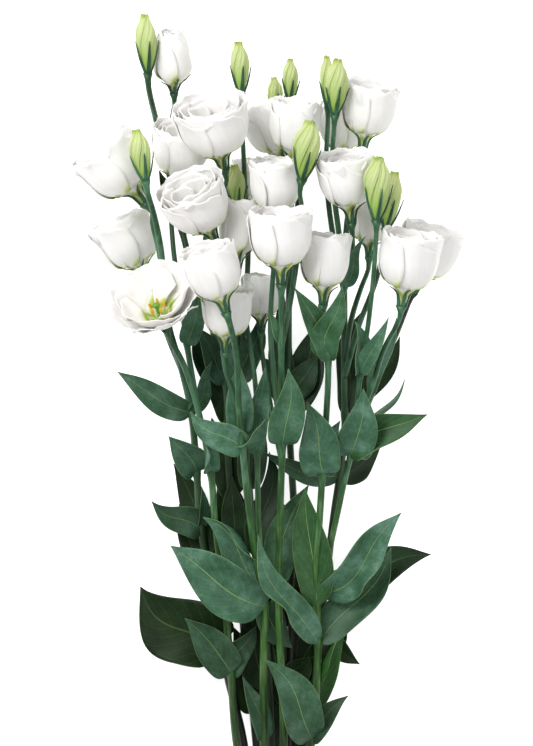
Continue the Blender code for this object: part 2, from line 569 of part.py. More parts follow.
def make_stem(letter, flowers, paths, material, rng):
    """A main stem with its shoots, sepals and leaves, in one body."""
    names = [n for n in flowers if stem_of(n, flowers) == letter]
    trunk = trunk_of(letter, flowers)
    base = stalk(paths[trunk], (STEM_RADIUS, STEM_TIP_RADIUS), flowers[trunk], rng)
    growth = []
    for name in names:
        if name != trunk:
            growth.append(stalk(paths[name], (SHOOT_RADIUS, PEDICEL_RADIUS), flowers[name], rng))
    for leaf in LEAVES:
        owner = trunk if leaf[0] == letter else leaf[0]
        if owner in names:
            growth.append(make_leaf(at_y(paths[owner], leaf[1]), leaf))
    return joined(base, growth, "stem_" + letter, material)


def band_outline(clearance, underside):
    """The corners of the tightest band round the stems at that clearance, in the XZ plane."""
    sides = []
    for step in range(TIE_SIDES):
        angle = 2 * math.pi * step / TIE_SIDES
        way = Vector((math.cos(angle), 0, math.sin(angle)))
        ends = (TIE_Y - TIE_LENGTH / 2, TIE_Y, TIE_Y + TIE_LENGTH / 2)
        reach = max(at_y(path, y).dot(way) for path in STEMS.values() for y in ends)
        sides.append((way, reach + STEM_RADIUS + clearance))
    sides[TIE_SIDES * 3 // 4] = (Vector((0, 0, -1)), -underside)
    corners = []
    for (way, far), (other, beyond) in zip(sides, sides[1:] + sides[:1]):
        cross = way.x * other.z - way.z * other.x
        corners.append(Vector((far * other.z - beyond * way.z, 0, way.x * beyond - other.x * far)) / cross)
    return corners


def make_tie(material):
    """The band round the stems. Its underside is flat and lies on the table."""
    bm = bmesh.new()
    inside = band_outline(SEAT_GAP, TABLE_Z + TIE_THICKNESS)
    outside = band_outline(SEAT_GAP + TIE_THICKNESS, TABLE_Z)
    rows = []
    for corners, y in ((inside, -0.5), (outside, -0.5), (outside, 0.5), (inside, 0.5)):
        rows.append(ring(bm, [corner + Vector((0, TIE_Y + y * TIE_LENGTH, 0)) for corner in corners]))
    for lower, upper in zip(rows, rows[1:] + rows[:1]):
        skin(bm, lower, upper)
    bmesh.ops.recalc_face_normals(bm, faces=bm.faces)
    return new_object("tie", bm, material)


def new_material(name, color, roughness):
    material = bpy.data.materials.new(name)
    material.use_nodes = True
    shader = material.node_tree.nodes["Principled BSDF"]
    shader.inputs["Base Color"].default_value = (*color, 1)
    shader.inputs["Roughness"].default_value = roughness
    material.diffuse_color = (*color, 1)
    return material


def main():
    for old in list(bpy.data.objects):
        bpy.data.objects.remove(old)
    petal = new_material("petal", WHITE, 0.6)
    bud = new_material("bud", BUD_GREEN, 0.5)
    green = new_material("stem_and_leaf", STEM_GREEN, 0.45)
    yellow = new_material("anther", ANTHER_YELLOW, 0.7)
    twine = new_material("twine", TWINE_BROWN, 0.9)
    flowers = {"bloom_" + k: v for k, v in BLOOMS.items()} | {"bud_" + k: v for k, v in BUDS.items()}
    paths = {name: shoot_path(name, flowers) for name in flowers}
    for i, letter in enumerate(STEMS):
        make_stem(letter, flowers, paths, green, random.Random(i))
    for i, (name, flower) in enumerate(flowers.items()):
        make = make_bud if name.startswith("bud") else make_bloom
        make(name, flower, bud if name.startswith("bud") else petal, random.Random(100 + i))
    make_stamens("stamens_07", flowers["bloom_07"], yellow)
    make_tie(twine)


main()
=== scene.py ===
# %% [markdown]
# # A bunch of white double lisianthus
#
# Nine cut stems lie side by side on a table and are seen from straight above. Each one forks again and
# again, and every fork ends in a cup of thin white petals or in a green bud. The plain solids are already
# there as a frame. This lesson dresses them: every solid gets a finer piece of the same form, grown from
# the same seats, tips and widths, and then a finish that behaves like the real tissue.

# %% Load the frame
import json
import random
from collections import namedtuple
from functools import partial
from math import cos, exp, pi, radians, sin

import bmesh
import bpy
from mathutils import Matrix, Vector

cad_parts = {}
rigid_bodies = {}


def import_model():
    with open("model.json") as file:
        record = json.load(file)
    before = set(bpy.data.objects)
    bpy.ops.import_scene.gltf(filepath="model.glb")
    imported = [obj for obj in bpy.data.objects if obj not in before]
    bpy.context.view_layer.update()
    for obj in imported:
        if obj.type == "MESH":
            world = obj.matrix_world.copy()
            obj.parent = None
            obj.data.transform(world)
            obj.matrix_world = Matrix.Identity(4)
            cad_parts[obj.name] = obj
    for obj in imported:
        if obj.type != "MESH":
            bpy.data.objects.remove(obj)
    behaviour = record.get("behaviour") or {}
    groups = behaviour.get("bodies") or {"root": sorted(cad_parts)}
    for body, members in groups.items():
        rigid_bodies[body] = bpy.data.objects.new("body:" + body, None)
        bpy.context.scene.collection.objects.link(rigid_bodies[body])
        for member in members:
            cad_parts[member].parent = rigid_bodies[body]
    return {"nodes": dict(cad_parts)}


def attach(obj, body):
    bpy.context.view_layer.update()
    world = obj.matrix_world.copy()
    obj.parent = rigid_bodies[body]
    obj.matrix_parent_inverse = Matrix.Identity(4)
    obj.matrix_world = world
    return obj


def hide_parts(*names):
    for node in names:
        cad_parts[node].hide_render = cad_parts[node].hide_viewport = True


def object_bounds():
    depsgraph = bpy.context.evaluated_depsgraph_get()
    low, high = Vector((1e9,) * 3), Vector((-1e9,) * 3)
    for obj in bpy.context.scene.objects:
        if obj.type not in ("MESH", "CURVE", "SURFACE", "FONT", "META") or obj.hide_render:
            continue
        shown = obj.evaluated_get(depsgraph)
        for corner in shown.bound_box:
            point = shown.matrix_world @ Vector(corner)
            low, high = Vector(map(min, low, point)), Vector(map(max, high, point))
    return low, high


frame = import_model()
cad_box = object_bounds()
print("frame:", len(frame["nodes"]), "solids")

# %% [markdown]
# ## Where everything grows
#
# A plant could be scattered by chance, but then it wouldn't look like this bunch. So each stem, flower and
# leaf has its own line in a table, in millimetres, as a florist would note them: where it starts, where it
# points and how large it is. These are the frame's own numbers, so each piece lands on its solid.

# %% Tables of stems, flowers and leaves
PETALS = 5  # petals in each whorl, and sepals round it

# How a bloom's side runs from its seat to its rim, as shares of its radius and height.
TIGHT_SIDE = ((0.15, 0.0), (0.28, 0.12), (0.62, 0.22), (0.98, 0.37), (1.0, 0.58), (0.88, 0.81), (0.6, 1.0))
CUP_SIDE = ((0.12, 0.0), (0.17, 0.13), (0.34, 0.25), (0.71, 0.36), (0.95, 0.55), (1.0, 0.79), (1.06, 1.0))
OPEN_SIDE = ((0.07, 0.0), (0.14, 0.14), (0.30, 0.29), (0.58, 0.45), (0.82, 0.63), (0.98, 0.84), (1.08, 1.0))
BUD_SIDE = ((0.26, 0.0), (0.52, 0.13), (0.84, 0.32), (1.0, 0.54), (0.90, 0.74), (0.55, 0.89), (0.45, 0.95),
            (0.36, 1.0))

# Each stem, from its cut end through the band to its own flower.
STEMS = {
    "a": ((-14, -70, 5.5), (-9.45, 0, 5.6), (-22, 110, 13), (-34, 160, 18), (-44, 220, 24), (-54, 272, 30),
          (-57, 315, 36), (-61, 360, 42), (-68, 392, 48), (-77, 423, 56), (-81, 452, 64), (-83, 482, 76),
          (-88, 508, 90)),
    "b": ((-9, -70, 14), (-6.3, 0, 11.2), (-27, 110, 28), (-31, 163, 35), (-36, 220, 41), (-43, 278, 49),
          (-46, 315, 55), (-57, 368, 63), (-67, 398, 70)),
    "c": ((-4, -70, 22), (-3.15, 0, 16.8), (-6, 110, 36), (-6, 190, 48), (-5, 214, 52), (-12, 250, 60),
          (-18, 294, 72), (-22, 335, 83), (-25, 370, 92), (-26, 400, 103)),
    "d": ((5, -70, 22), (3.15, 0, 16.8), (9, 110, 36), (6, 190, 50), (5, 232, 58), (7, 309, 76),
          (8, 337, 84), (7, 370, 93), (7, 414, 106)),
    "e": ((9, -70, 13), (6.3, 0, 11.2), (30, 110, 32), (35, 186, 44), (34, 214, 48), (33, 235, 52),
          (36, 280, 60), (38, 315, 67), (42, 402, 86)),
    "f": ((-5, -70, 5.5), (-3.15, 0, 5.6), (-12, 110, 12), (-24, 220, 18), (-30, 280, 24), (-34, 340, 32),
          (-35, 383, 37), (-47, 430, 40), (-64, 482, 35), (-73, 520, 26), (-82, 557, 26), (-88, 583, 48)),
    "g": ((0, -70, 14), (0, 0, 11.2), (0, 110, 20), (-7, 220, 30), (-15, 280, 38), (-20, 340, 48),
          (-24, 384, 54), (-30, 430, 62)),
    "h": ((5, -70, 5.5), (3.15, 0, 5.6), (14, 110, 11), (15, 220, 18), (17, 280, 24), (14, 336, 31),
          (13, 384, 36), (13, 444, 42), (14, 482, 54)),
    "i": ((14, -70, 5.5), (9.45, 0, 5.6), (26, 110, 13), (40, 220, 22), (47, 280, 28), (55, 340, 34),
          (55, 384, 38), (55, 430, 42), (55, 474, 46), (58, 512, 50)),
}

# Each flower: its seat, how far it leans right and noses up from the table in degrees, its radius and
# height, the stem or the flower whose shoot its own shoot leaves, at that distance along Y, and the points
# that the shoot passes. A bloom also says how open it is (0 tight, 0.5 a cup, 1 wide open), and two of them
# how far they are turned.
Flower = namedtuple("Flower", "seat lean nod size parent by open turn", defaults=(None, None))
BLOOMS = {
    "01": ((-74, 602, 50), -2, 25, (13, 50), ("f", 515), ((-76, 555, 18), (-76, 583, 35)), 0.0),
    "02": ((-36, 543, 82), -13, 25, (26, 54), ("f", 440), ((-52, 480, 48), (-42, 518, 62)), 0.55),
    "03": ((-75, 531, 42), 12, 25, (21, 49), ("b", 366),
           ((-64, 412, 60), (-68, 441, 53), (-74, 480, 46), (-76, 503, 42)), 0.55),
    "04": ((-96, 518, 66), -38, 10, (25, 56), ("a", 450), ((-85, 482, 60), (-90, 503, 62)), 0.5),
    "05": ((-43, 489, 85), -25, 30, (24, 52), ("g", None), ((-38, 466, 72),), 0.6),
    "06": ((-96, 462, 16.5), -26, 8, (22.5, 52), ("a", 392), ((-80, 420, 34),), 0.5, 54),
    "07": ((-80, 424, 80), -20, 45, (31, 42), ("b", None), (), 1.0),
    "08": ((-34, 435, 121), -18, 15, (19.5, 52), ("c", None), (), 0.45),
    "09": ((-35, 406, 83), 3, 10, (17.5, 48), ("c", 332), ((-28, 370, 82),), 0.5),
    "10": ((-26, 467, 74), 2, 5, (14, 54), ("c", 214),
           ((-8, 250, 52), (-10, 280, 56), (-11, 328, 62), (-12, 377, 64), (-17, 414, 61),
            (-22, 444, 64)), 0.35),
    "11": ((7, 456, 118), 0, 14, (22, 56), ("d", None), (), 0.5),
    "12": ((3, 498, 84), 0, 12, (18.5, 52), ("d", 336), ((3, 375, 80), (-1, 420, 80), (1, 465, 81)), 0.55),
    "13": ((15, 545, 66), 4, 14, (18, 52), ("h", None), ((14, 518, 58),), 0.45),
    "14": ((10, 548, 36), -23, 6, (17.5, 50), ("h", 478), ((15, 512, 40),), 0.45),
    "15": ((-14, 514, 16), -2, 3, (14, 41), ("h", 416), ((6, 455, 28), (-7, 490, 19)), 0.5),
    "16": ((68, 558, 60), 8, 15, (19.5, 52), ("i", None), (), 0.5),
    "17": ((56, 548, 30), -5, 6, (17, 50), ("i", 488), ((59, 520, 36),), 0.5),
    "18": ((59, 502, 99), -6, 15, (21, 52), ("e", 400), ((48, 430, 75), (56, 460, 73), (60, 478, 79)), 0.55),
    "19": ((73, 478, 64), 2, 8, (14, 44), ("i", 398), ((60, 430, 48), (68, 456, 57)), 0.4),
    "20": ((38, 441, 96), 3, 6, (17.5, 53), ("e", None), (), 0.45),
    "21": ((96, 440, 110), 8, 15, (21.5, 56), ("bud_09", 354), ((75, 381, 85), (83, 407, 95)), 0.45),
    "22": ((108, 452, 14.7), 20, 10, (22, 54), ("bud_09", 328),
           ((68, 354, 60), (80, 386, 45), (96, 422, 29)), 0.55, 54),
    "23": ((-8, 423, 52), 0, 5, (14, 42), ("d", 324), ((0, 360, 58), (-6, 396, 50)), 0.4),
}
BUDS = {
    "01": ((-93, 615, 76), -3, 4, (7.8, 43), ("f", None), ()),
    "02": ((-23, 600, 72), -3, 8, (7, 38), ("g", 380),
           ((-21, 430, 42), (-18, 480, 40), (-20, 523, 46), (-22, 572, 60))),
    "03": ((14, 597, 26), 0, 6, (6, 32), ("h", 440), ((17, 480, 31), (20, 530, 20), (17, 570, 22))),
    "04": ((4, 588, 14), -5, 4, (5.6, 28), ("h", 440), ((13, 480, 26), (11, 530, 14), (7, 563, 12))),
    "05": ((42, 591, 64), -1, 6, (5.6, 37), ("i", 452), ((46, 495, 51), (41, 540, 56))),
    "06": ((47, 583, 88), 3, 8, (8, 41), ("i", 466), ((50, 500, 58), (45, 540, 70))),
    "07": ((22, 533, 124), 8, 8, (9.5, 43), ("d", 410),
           ((13, 440, 101), (18, 470, 96), (21, 500, 99), (22, 514, 109))),
    "08": ((-26, 513, 52), -4, 5, (7.5, 34), ("g", 426), ((-29, 465, 54), (-27, 495, 50))),
    "09": ((77, 503, 129), 1, 8, (9.7, 46), ("e", 214),
           ((38, 232, 46), (47, 272, 54), (55, 310, 64), (59, 328, 69), (63, 355, 77),
            (66, 390, 88), (71, 422, 100), (75, 460, 114))),
    "10": ((85, 498, 90), 9, 8, (8, 42), ("i", 386), ((65, 424, 58), (79, 462, 72))),
    "11": ((-94, 533, 104), -10, 10, (8, 38), ("a", None), ()),
}

# Each leaf: the stem or shoot that it clasps, the distance along Y there, its point, its width, how far
# it rolls about its rib in degrees, and how high it arches and bends sideways.
LEAVES = (
    ("c", 214, (-76, 260, 66), 38, 0, 9, -4), ("c", 214, (16, 181, 34), 22, -15, 0, 4),
    ("bloom_10", 224, (-52, 281, 56), 29, -10, 0, 5), ("c", 113, (-22, 160, 45), 16, 20, 2, 2),
    ("c", 335, (-61, 361, 82), 22, -10, 3, -3), ("c", 335, (-4, 356, 97), 13, 55, 3, 0),
    ("bloom_09", 346, (-25, 398, 79), 20, 0, -2, 0), ("bloom_10", 328, (-5, 394, 76), 16, 5, 0, -2),
    ("d", 337, (12, 393, 112), 25, 0, 5, 3), ("d", 337, (-1, 366, 76), 8, 40, 0, -3),
    ("d", 232, (28, 305, 40), 26, 5, -6, -6), ("d", 412, (-3, 436, 103), 7, 20, 2, 0),
    ("e", 112, (-5, 174, 60), 31, 10, 11, 4), ("e", 112, (58, 145, 36), 17, -10, 2, -3),
    ("e", 186, (-10, 269, 80), 22, 15, 7, -9), ("e", 186, (90, 258, 44), 29, -15, -2, 5),
    ("e", 214, (25, 303, 62), 28, 0, 1, 0), ("bud_09", 222, (97, 285, 74), 29, 10, 6, 5),
    ("e", 315, (26, 368, 91), 30, -5, 5, 3), ("e", 315, (52, 354, 50), 18, 20, -2, 0),
    ("e", 400, (17, 453, 108), 19, 10, 4, 3), ("e", 400, (52, 454, 113), 21, -5, 4, -3),
    ("bloom_18", 455, (70, 492, 92), 10, 20, 3, -2), ("bud_09", 328, (68, 378, 99), 28, 0, 5, 3),
    ("bud_09", 328, (116, 359, 84), 25, -10, 4, -5), ("bud_09", 390, (62, 428, 106), 15, 35, 2, 3),
    ("bud_09", 390, (86, 431, 117), 13, -20, 4, 2), ("bloom_22", 374, (94, 432, 58), 11, -20, 0, 0),
    ("bloom_22", 352, (100, 385, 66), 9, 60, 4, 3), ("b", 163, (-66, 204, 43), 28, -10, 2, 3),
    ("b", 163, (-12, 198, 39), 20, 10, 0, -2), ("b", 315, (-52, 346, 75), 15, 0, 2, 2),
    ("bloom_03", 412, (-54, 456, 72), 16, -15, 2, 3), ("f", 500, (-86, 545, 20), 15, 20, 0, 3),
    ("a", 184, (-100, 227, 24), 52, 0, 3, -11), ("a", 250, (-75, 321, 24), 23, -10, -4, 4),
    ("a", 272, (-91, 293, 42), 22, 10, 3, -3), ("a", 272, (-53, 304, 46), 9, 30, 1, 2),
    ("a", 315, (-78, 342, 50), 24, -10, 3, 3), ("a", 360, (-117, 391, 46), 20, 0, 3, -3),
    ("a", 360, (-45, 399, 52), 12, 20, 0, 2), ("a", 228, (-71, 264, 16), 14, 20, 0, 2),
    ("f", 262, (-30, 312, 33), 19, 0, 2, 0), ("f", 383, (-60, 426, 48), 18, 10, 3, 2),
    ("f", 220, (-52, 252, 8), 20, -10, 0, 2), ("g", 384, (-42, 418, 66), 12, 20, 2, 0),
    ("h", 147, (2, 170, 23), 15, 20, 0, 2), ("h", 147, (28, 176, 20), 15, -10, 0, 2),
    ("h", 375, (35, 404, 34), 21, 0, 2, 2), ("h", 366, (-8, 402, 38), 19, 0, 0, 3),
    ("h", 262, (-10, 300, 14), 19, -10, 0, 2), ("i", 185, (67, 168, 24), 18, 10, 2, -3),
    ("i", 228, (121, 252, 32), 30, 0, 4, 0), ("i", 312, (-6, 330, 46), 15, 0, 3, -6),
    ("i", 312, (84, 336, 22), 20, 15, 0, 3), ("i", 360, (98, 418, 14), 19, 0, -2, 4),
)

# More leaves low in the bunch, in its shade. They close the view between the stems.
BACK_LEAVES = (
    ("f", 352, (-57, 430, 26), 26, 0, 0, 3), ("g", 384, (-10, 434, 42), 20, 0, 0, 2),
    ("h", 384, (4, 441, 36), 18, 0, 0, -2), ("h", 362, (34, 428, 26), 28, 0, 0, 3),
    ("i", 358, (68, 436, 26), 20, 0, 0, -3), ("h", 140, (-4, 190, 12), 28, 0, 0, 3),
    ("h", 150, (30, 208, 12), 26, 0, 0, -3), ("g", 150, (-20, 216, 16), 28, 0, 0, -2),
    ("g", 205, (-3, 276, 16), 28, 0, 0, 3), ("h", 196, (26, 262, 12), 26, 0, 0, -2),
    ("i", 152, (50, 214, 14), 24, 0, 0, 3), ("f", 236, (-42, 318, 16), 28, 0, 0, 2),
    ("g", 302, (-16, 372, 30), 22, 0, 0, 2), ("f", 296, (-46, 356, 22), 24, 0, 0, 3),
    ("a", 232, (-66, 306, 12), 26, 0, 0, -3), ("f", 130, (-30, 196, 9), 24, 0, 0, 3),
    ("h", 100, (0, 150, 9), 22, 0, 0, 2), ("i", 120, (14, 160, 9), 20, 0, 0, -2),
    ("i", 128, (58, 201, 44), 20, 25, 5, -5), ("h", 156, (36, 176, 20), 22, 0, 0, 2),
    ("f", 402, (-20, 440, 30), 18, 0, 0, 2), ("g", 250, (-2, 330, 26), 20, 0, 0, 2),
)

FLOWERS = {kind + number: Flower(*row)
           for kind, table in (("bloom_", BLOOMS), ("bud_", BUDS)) for number, row in table.items()}
print("flowers:", len(BLOOMS), "blooms and", len(BUDS), "buds;", len(LEAVES) + len(BACK_LEAVES), "leaves")

# %% [markdown]
# ## Colours and nodes
#
# Colours are noted as hex values, the way a paint chart gives them, but Blender mixes light in linear
# values, so one function turns them. Another adds a node with its settings and links, and gives its result
# to the next, which keeps each finish short enough to read.


# %% Helpers for the finishes
def srgb(code):
    """A hex colour as linear red, green, blue and alpha."""
    parts = [int(code[i:i + 2], 16) / 255 for i in (1, 3, 5)]
    return (*[c / 12.92 if c <= 0.04045 else ((c + 0.055) / 1.055) ** 2.4 for c in parts], 1.0)


def feed(node, inputs):
    """Links the sockets that are given for a node's inputs, and sets the other values."""
    for key, value in inputs.items():
        if isinstance(value, bpy.types.NodeSocket):
            node.id_data.links.new(value, node.inputs[key])
        else:
            node.inputs[key].default_value = value


COLOURS = {"output": 2, "data_type": "RGBA"}  # what a Mix node needs to mix colours


def add_node(tree, kind, inputs=None, output=0, **settings):
    """Adds a node of that kind, with its settings and inputs, and gives that output of it."""
    made = tree.nodes.new("ShaderNode" + kind)
    for key, value in settings.items():
        setattr(made, key, value)
    feed(made, inputs or {})
    return made.outputs[output]


def ramp(add, value, stops):
    """The colour for a value, mixed between stops that are (place, hex colour)."""
    colour = add("ValToRGB", {0: value})
    elements = colour.node.color_ramp.elements
    while len(elements) < len(stops):
        elements.new(0.5)
    for element, (place, code) in zip(elements, stops):
        element.position, element.color = place, srgb(code)
    return colour


def finish_of(name):
    """A new material, the function that adds a node to it, and its shader."""
    material = bpy.data.materials.new(name)
    material.use_nodes = True
    tree = material.node_tree
    return material, partial(add_node, tree), tree.nodes["Principled BSDF"]


def sheet_places(add):
    """How far along its sheet a point lies, from 0 to 1, and how far from the middle line, up to 0.5."""
    across = add("SeparateXYZ", {0: add("TexCoord", output="UV")})
    middle = add("Math", {0: across, 1: 0.5}, operation="SUBTRACT")
    return across.node.outputs["Y"], add("Math", {0: middle}, operation="ABSOLUTE")


# %% [markdown]
# ## Petal tissue
#
# A petal is two clear skins with airy cells between them, which scatter light and look white. Near the
# tube the cells hold some chlorophyll, so the white runs down into lime green, further along the seams
# between two petals than down a petal's middle. Paint in a texture could do this, but the petal's own
# map, across and along, already says where its seams and its foot are, so one ramp on it is enough.
# Light also passes through the skin, hence the subsurface part.

# %% Petal and bud finishes
def petal_finish(name, stops, along_tint, vein_depth):
    """A colour along the petal, lowered towards its seams by along_tint, with faint veins and a sheen."""
    material, add, shader = finish_of(name)
    length, side = sheet_places(add)
    lowered = add("Math", {0: side, 1: -along_tint, 2: length}, operation="MULTIPLY_ADD")
    tint = ramp(add, lowered, stops)
    # Veins fan out from the foot about 1 mm apart: 30 across a petal, and drawn out along it.
    fan = add("Mapping", {"Vector": add("TexCoord", output="UV"), "Scale": (30, 2.2, 1)})
    vein = add("TexNoise", {"Vector": fan, "Scale": 1.0, "Detail": 3.0, "Roughness": 0.6})
    # Cloudy patches of about 12 mm, where the tissue is a little thicker.
    where = add("TexCoord", output="Object")
    cloud = add("TexNoise", {"Vector": where, "Scale": 85.0, "Detail": 2.0})
    both = add("Math", {0: vein, 1: cloud}, operation="ADD")
    tone = add("MapRange", {0: both, 1: 0.6, 2: 1.4, 3: 0.93, 4: 1.02})
    shade = add("Mix", {6: tint, 7: tone, 0: 1.0}, **COLOURS, blend_type="MULTIPLY")
    bump = add("Bump", {"Height": vein, "Strength": vein_depth, "Distance": 0.0006})
    # The skin is velvety, and light goes about 1.5 mm into the airy cells.
    feed(shader, {
        "Base Color": shade, "Normal": bump, "Roughness": 0.55, "IOR": 1.4, "Specular IOR Level": 0.3,
        "Sheen Weight": 0.1, "Subsurface Weight": 0.25, "Subsurface Radius": (1.0, 0.96, 0.9),
        "Subsurface Scale": 0.0015})
    return material


PETAL = petal_finish(
    "petal tissue, white",
    ((0.0, "#b9c676"), (0.07, "#dde2ae"), (0.15, "#97ad3d"), (0.22, "#b3c560"), (0.30, "#eceddb"),
     (0.42, "#f6f4f0"), (1.0, "#f7f5f4")),
    along_tint=0.66, vein_depth=0.25)
BUD = petal_finish(
    "bud tissue, lime",
    ((0.0, "#6f9236"), (0.22, "#97b358"), (0.55, "#c2cf92"), (0.80, "#c4d08c"), (0.93, "#b0c268"),
     (1.0, "#98b348")),
    along_tint=0.0, vein_depth=0.8)
print("petal and bud finishes made")

# %% [markdown]
# ## Leaf and stem skin
#
# Lisianthus leaves are glaucous: a thin wax bloom turns their green towards blue-grey and gives them a
# broad satin gloss. The rib and the margin stay bare and look yellow-green, and faint veins leave the rib
# in pairs and swing towards the point. A leaf's map runs across and along, so the rib is a narrow band in
# its middle, and the side veins are bands of constant height minus a share of the distance from the rib.
# Each leaf also carries two numbers: a painted shade, darker the lower the leaf lies under the bunch, and
# how fresh it is, because some have lost their wax and show plain green.


# %% Leaf and stem finishes
def leaf_finish():
    """Waxed leaf skin in patches, with a bare rib, margin and side veins."""
    material, add, shader = finish_of("waxy leaf, glaucous")
    length, side = sheet_places(add)
    where = add("TexCoord", output="Object")
    # The wax lies in patches of about 20 mm, over a fine grain of 1 mm.
    wax = add("TexNoise", {"Vector": where, "Scale": 50.0, "Detail": 6.0, "Roughness": 0.7})
    grain = add("TexNoise", {"Vector": where, "Scale": 900.0, "Detail": 2.0})
    waxed = ramp(add, wax, ((0.30, "#2a4e38"), (0.50, "#40684f"), (0.70, "#648a78")))
    plain = ramp(add, wax, ((0.30, "#1a3c14"), (0.70, "#315f2a")))
    # Painted deep shade: a near-black green for leaves that lie low under the bunch.
    deep_shade = ramp(add, wax, ((0.30, "#091b05"), (0.72, "#1b3611")))
    shade_amount, fresh = (add("Attribute", output="Fac", attribute_name=name) for name in ("shade_amount", "fresh"))
    unshaded_green = add("Mix", {0: fresh, 6: waxed, 7: plain}, **COLOURS)
    body = add("Mix", {0: shade_amount, 6: unshaded_green, 7: deep_shade}, **COLOURS)
    # Eight pairs of side veins, swept forward by three quarters of their distance from the rib.
    swept = add("Math", {0: side, 1: -0.75, 2: length}, operation="MULTIPLY_ADD")
    steps = add("Math", {0: swept, 1: 8.0}, operation="MULTIPLY")
    wander = add("Math", {0: wax, 1: 0.5, 2: steps}, operation="MULTIPLY_ADD")
    saw = add("Math", {0: wander, 1: 0.5}, operation="PINGPONG")
    vein = add("MapRange", {0: saw, 1: 0.0, 2: 0.05, 3: 1.0, 4: 0.0})
    rib = add("MapRange", {0: side, 1: 0.004, 2: 0.017, 3: 0.8, 4: 0.0})
    margin = add("MapRange", {0: side, 1: 0.484, 2: 0.498, 3: 0.0, 4: 0.42})
    faint = add("Math", {0: vein, 1: 0.24}, operation="MULTIPLY")
    lines = add("Math", {0: rib, 1: margin}, operation="MAXIMUM")
    bare = add("Math", {0: lines, 1: faint}, operation="MAXIMUM")
    # The bare lines fade under the painted shade.
    clear = add("Math", {0: shade_amount, 1: -0.7, 2: 1.0}, operation="MULTIPLY_ADD")
    shown = add("Math", {0: bare, 1: clear}, operation="MULTIPLY")
    colour = add("Mix", {0: shown, 6: body, 7: srgb("#83a05c")}, **COLOURS)
    speck = add("MapRange", {0: grain, 1: 0.3, 2: 0.7, 3: 0.88, 4: 1.10})
    skin = add("Mix", {0: 1.0, 6: colour, 7: speck}, **COLOURS, blend_type="MULTIPLY")
    rough = add("MapRange", {0: wax, 1: 0.3, 2: 0.7, 3: 0.38, 4: 0.55})
    relief = add("Math", {0: bare, 1: 2.0, 2: grain}, operation="MULTIPLY_ADD")
    bump = add("Bump", {"Height": relief, "Strength": 0.35, "Distance": 0.0004})
    feed(shader, {"Base Color": skin, "Normal": bump, "Roughness": rough, "IOR": 1.45,
                  "Specular IOR Level": 0.28})
    return material


def stem_finish(name, low_codes, high_codes, shade_code):
    """Waxed green skin with streaks along the stem. The codes are for its low end, high up and the painted
    shade deep in the bunch.
    """
    material, add, shader = finish_of(name)
    where = add("TexCoord", output="Object")
    # Streaks 3 mm wide and about 60 mm long, since the stems run along Y.
    drawn = add("Mapping", {"Vector": where, "Scale": (300, 16, 300)})
    streak = add("TexNoise", {"Vector": drawn, "Scale": 1.0, "Detail": 3.0})
    patch = add("TexNoise", {"Vector": where, "Scale": 22.0, "Detail": 2.0})
    mixed = add("Math", {0: streak, 1: patch}, operation="ADD")
    half = add("Math", {0: mixed, 1: 0.5}, operation="MULTIPLY")
    low, high = (ramp(add, half, tuple(zip((0.36, 0.50, 0.62), codes))) for codes in (low_codes, high_codes))
    # The wax comes with height along the bunch, unevenly.
    length = add("SeparateXYZ", {0: where}, output="Y")
    uneven = add("Math", {0: patch, 1: 0.25, 2: length}, operation="MULTIPLY_ADD")
    rise = add("MapRange", {0: uneven, 1: 0.34, 2: 0.50, 3: 0.0, 4: 1.0})
    colour = add("Mix", {0: rise, 6: low, 7: high}, **COLOURS)
    # Painted shade: darker the lower the stem lies under the bunch.
    shade_amount = add("Attribute", output="Fac", attribute_name="shade_amount")
    shaded = add("Mix", {0: shade_amount, 6: colour, 7: srgb(shade_code)}, **COLOURS)
    bump = add("Bump", {"Height": streak, "Strength": 0.3, "Distance": 0.0004})
    feed(shader, {"Base Color": shaded, "Normal": bump, "Roughness": 0.42, "IOR": 1.45})
    return material


LEAF = leaf_finish()
# The last code of each is the painted shade for parts low under the bunch.
STEM = stem_finish("waxy stem, green", ("#1c3f12", "#33601e", "#638a4e"),
                   ("#163a1e", "#265230", "#446f50"), "#0b1808")
SEPAL = stem_finish("sepal skin, dark green", ("#16402a", "#205038", "#2f6546"),
                    ("#123a26", "#1f4f35", "#356b49"), "#10281a")
print("leaf, stem and sepal finishes made")

# %% [markdown]
# ## Curves and sheets
#
# Stems bend smoothly between the places in their tables. A Catmull-Rom curve passes through every one, and
# its centripetal form doesn't loop where a short stretch follows a long one. Petals, leaves and sepals are
# all thin sheets: a grid whose points a formula moves into place, with a map that says how far across and
# along each point lies. A stem is the same grid rolled up until its two sides meet.


# %% Helpers for curves and sheets
UP = Vector((0, 0, 1))


def mix(a, b, share):
    return a + (b - a) * share


def smooth(low, high, value):
    """0 below low, 1 above high and an even rise between."""
    t = min(max((value - low) / (high - low), 0.0), 1.0)
    return t * t * (3 - 2 * t)


def curve(points, step):
    """Points about a step apart on a centripetal Catmull-Rom curve."""
    given = [Vector(p) for p in points]
    given = [2 * given[0] - given[1], *given, 2 * given[-1] - given[-2]]
    knots = [0.0]
    for a, b in zip(given, given[1:]):
        knots.append(knots[-1] + (b - a).length ** 0.5)
    made = []
    for i in range(1, len(given) - 2):
        p0, p1, p2, p3 = given[i - 1:i + 3]
        t0, t1, t2, t3 = knots[i - 1:i + 3]
        count = max(1, round((p2 - p1).length / step))
        for k in range(count + (i == len(given) - 3)):
            t = mix(t1, t2, k / count)
            a = p0.lerp(p1, (t - t0) / (t1 - t0))
            b = p1.lerp(p2, (t - t1) / (t2 - t1))
            c = p2.lerp(p3, (t - t2) / (t3 - t2))
            a, c = a.lerp(b, (t - t0) / (t2 - t0)), b.lerp(c, (t - t1) / (t3 - t1))
            made.append(a.lerp(c, (t - t1) / (t2 - t1)))
    return made


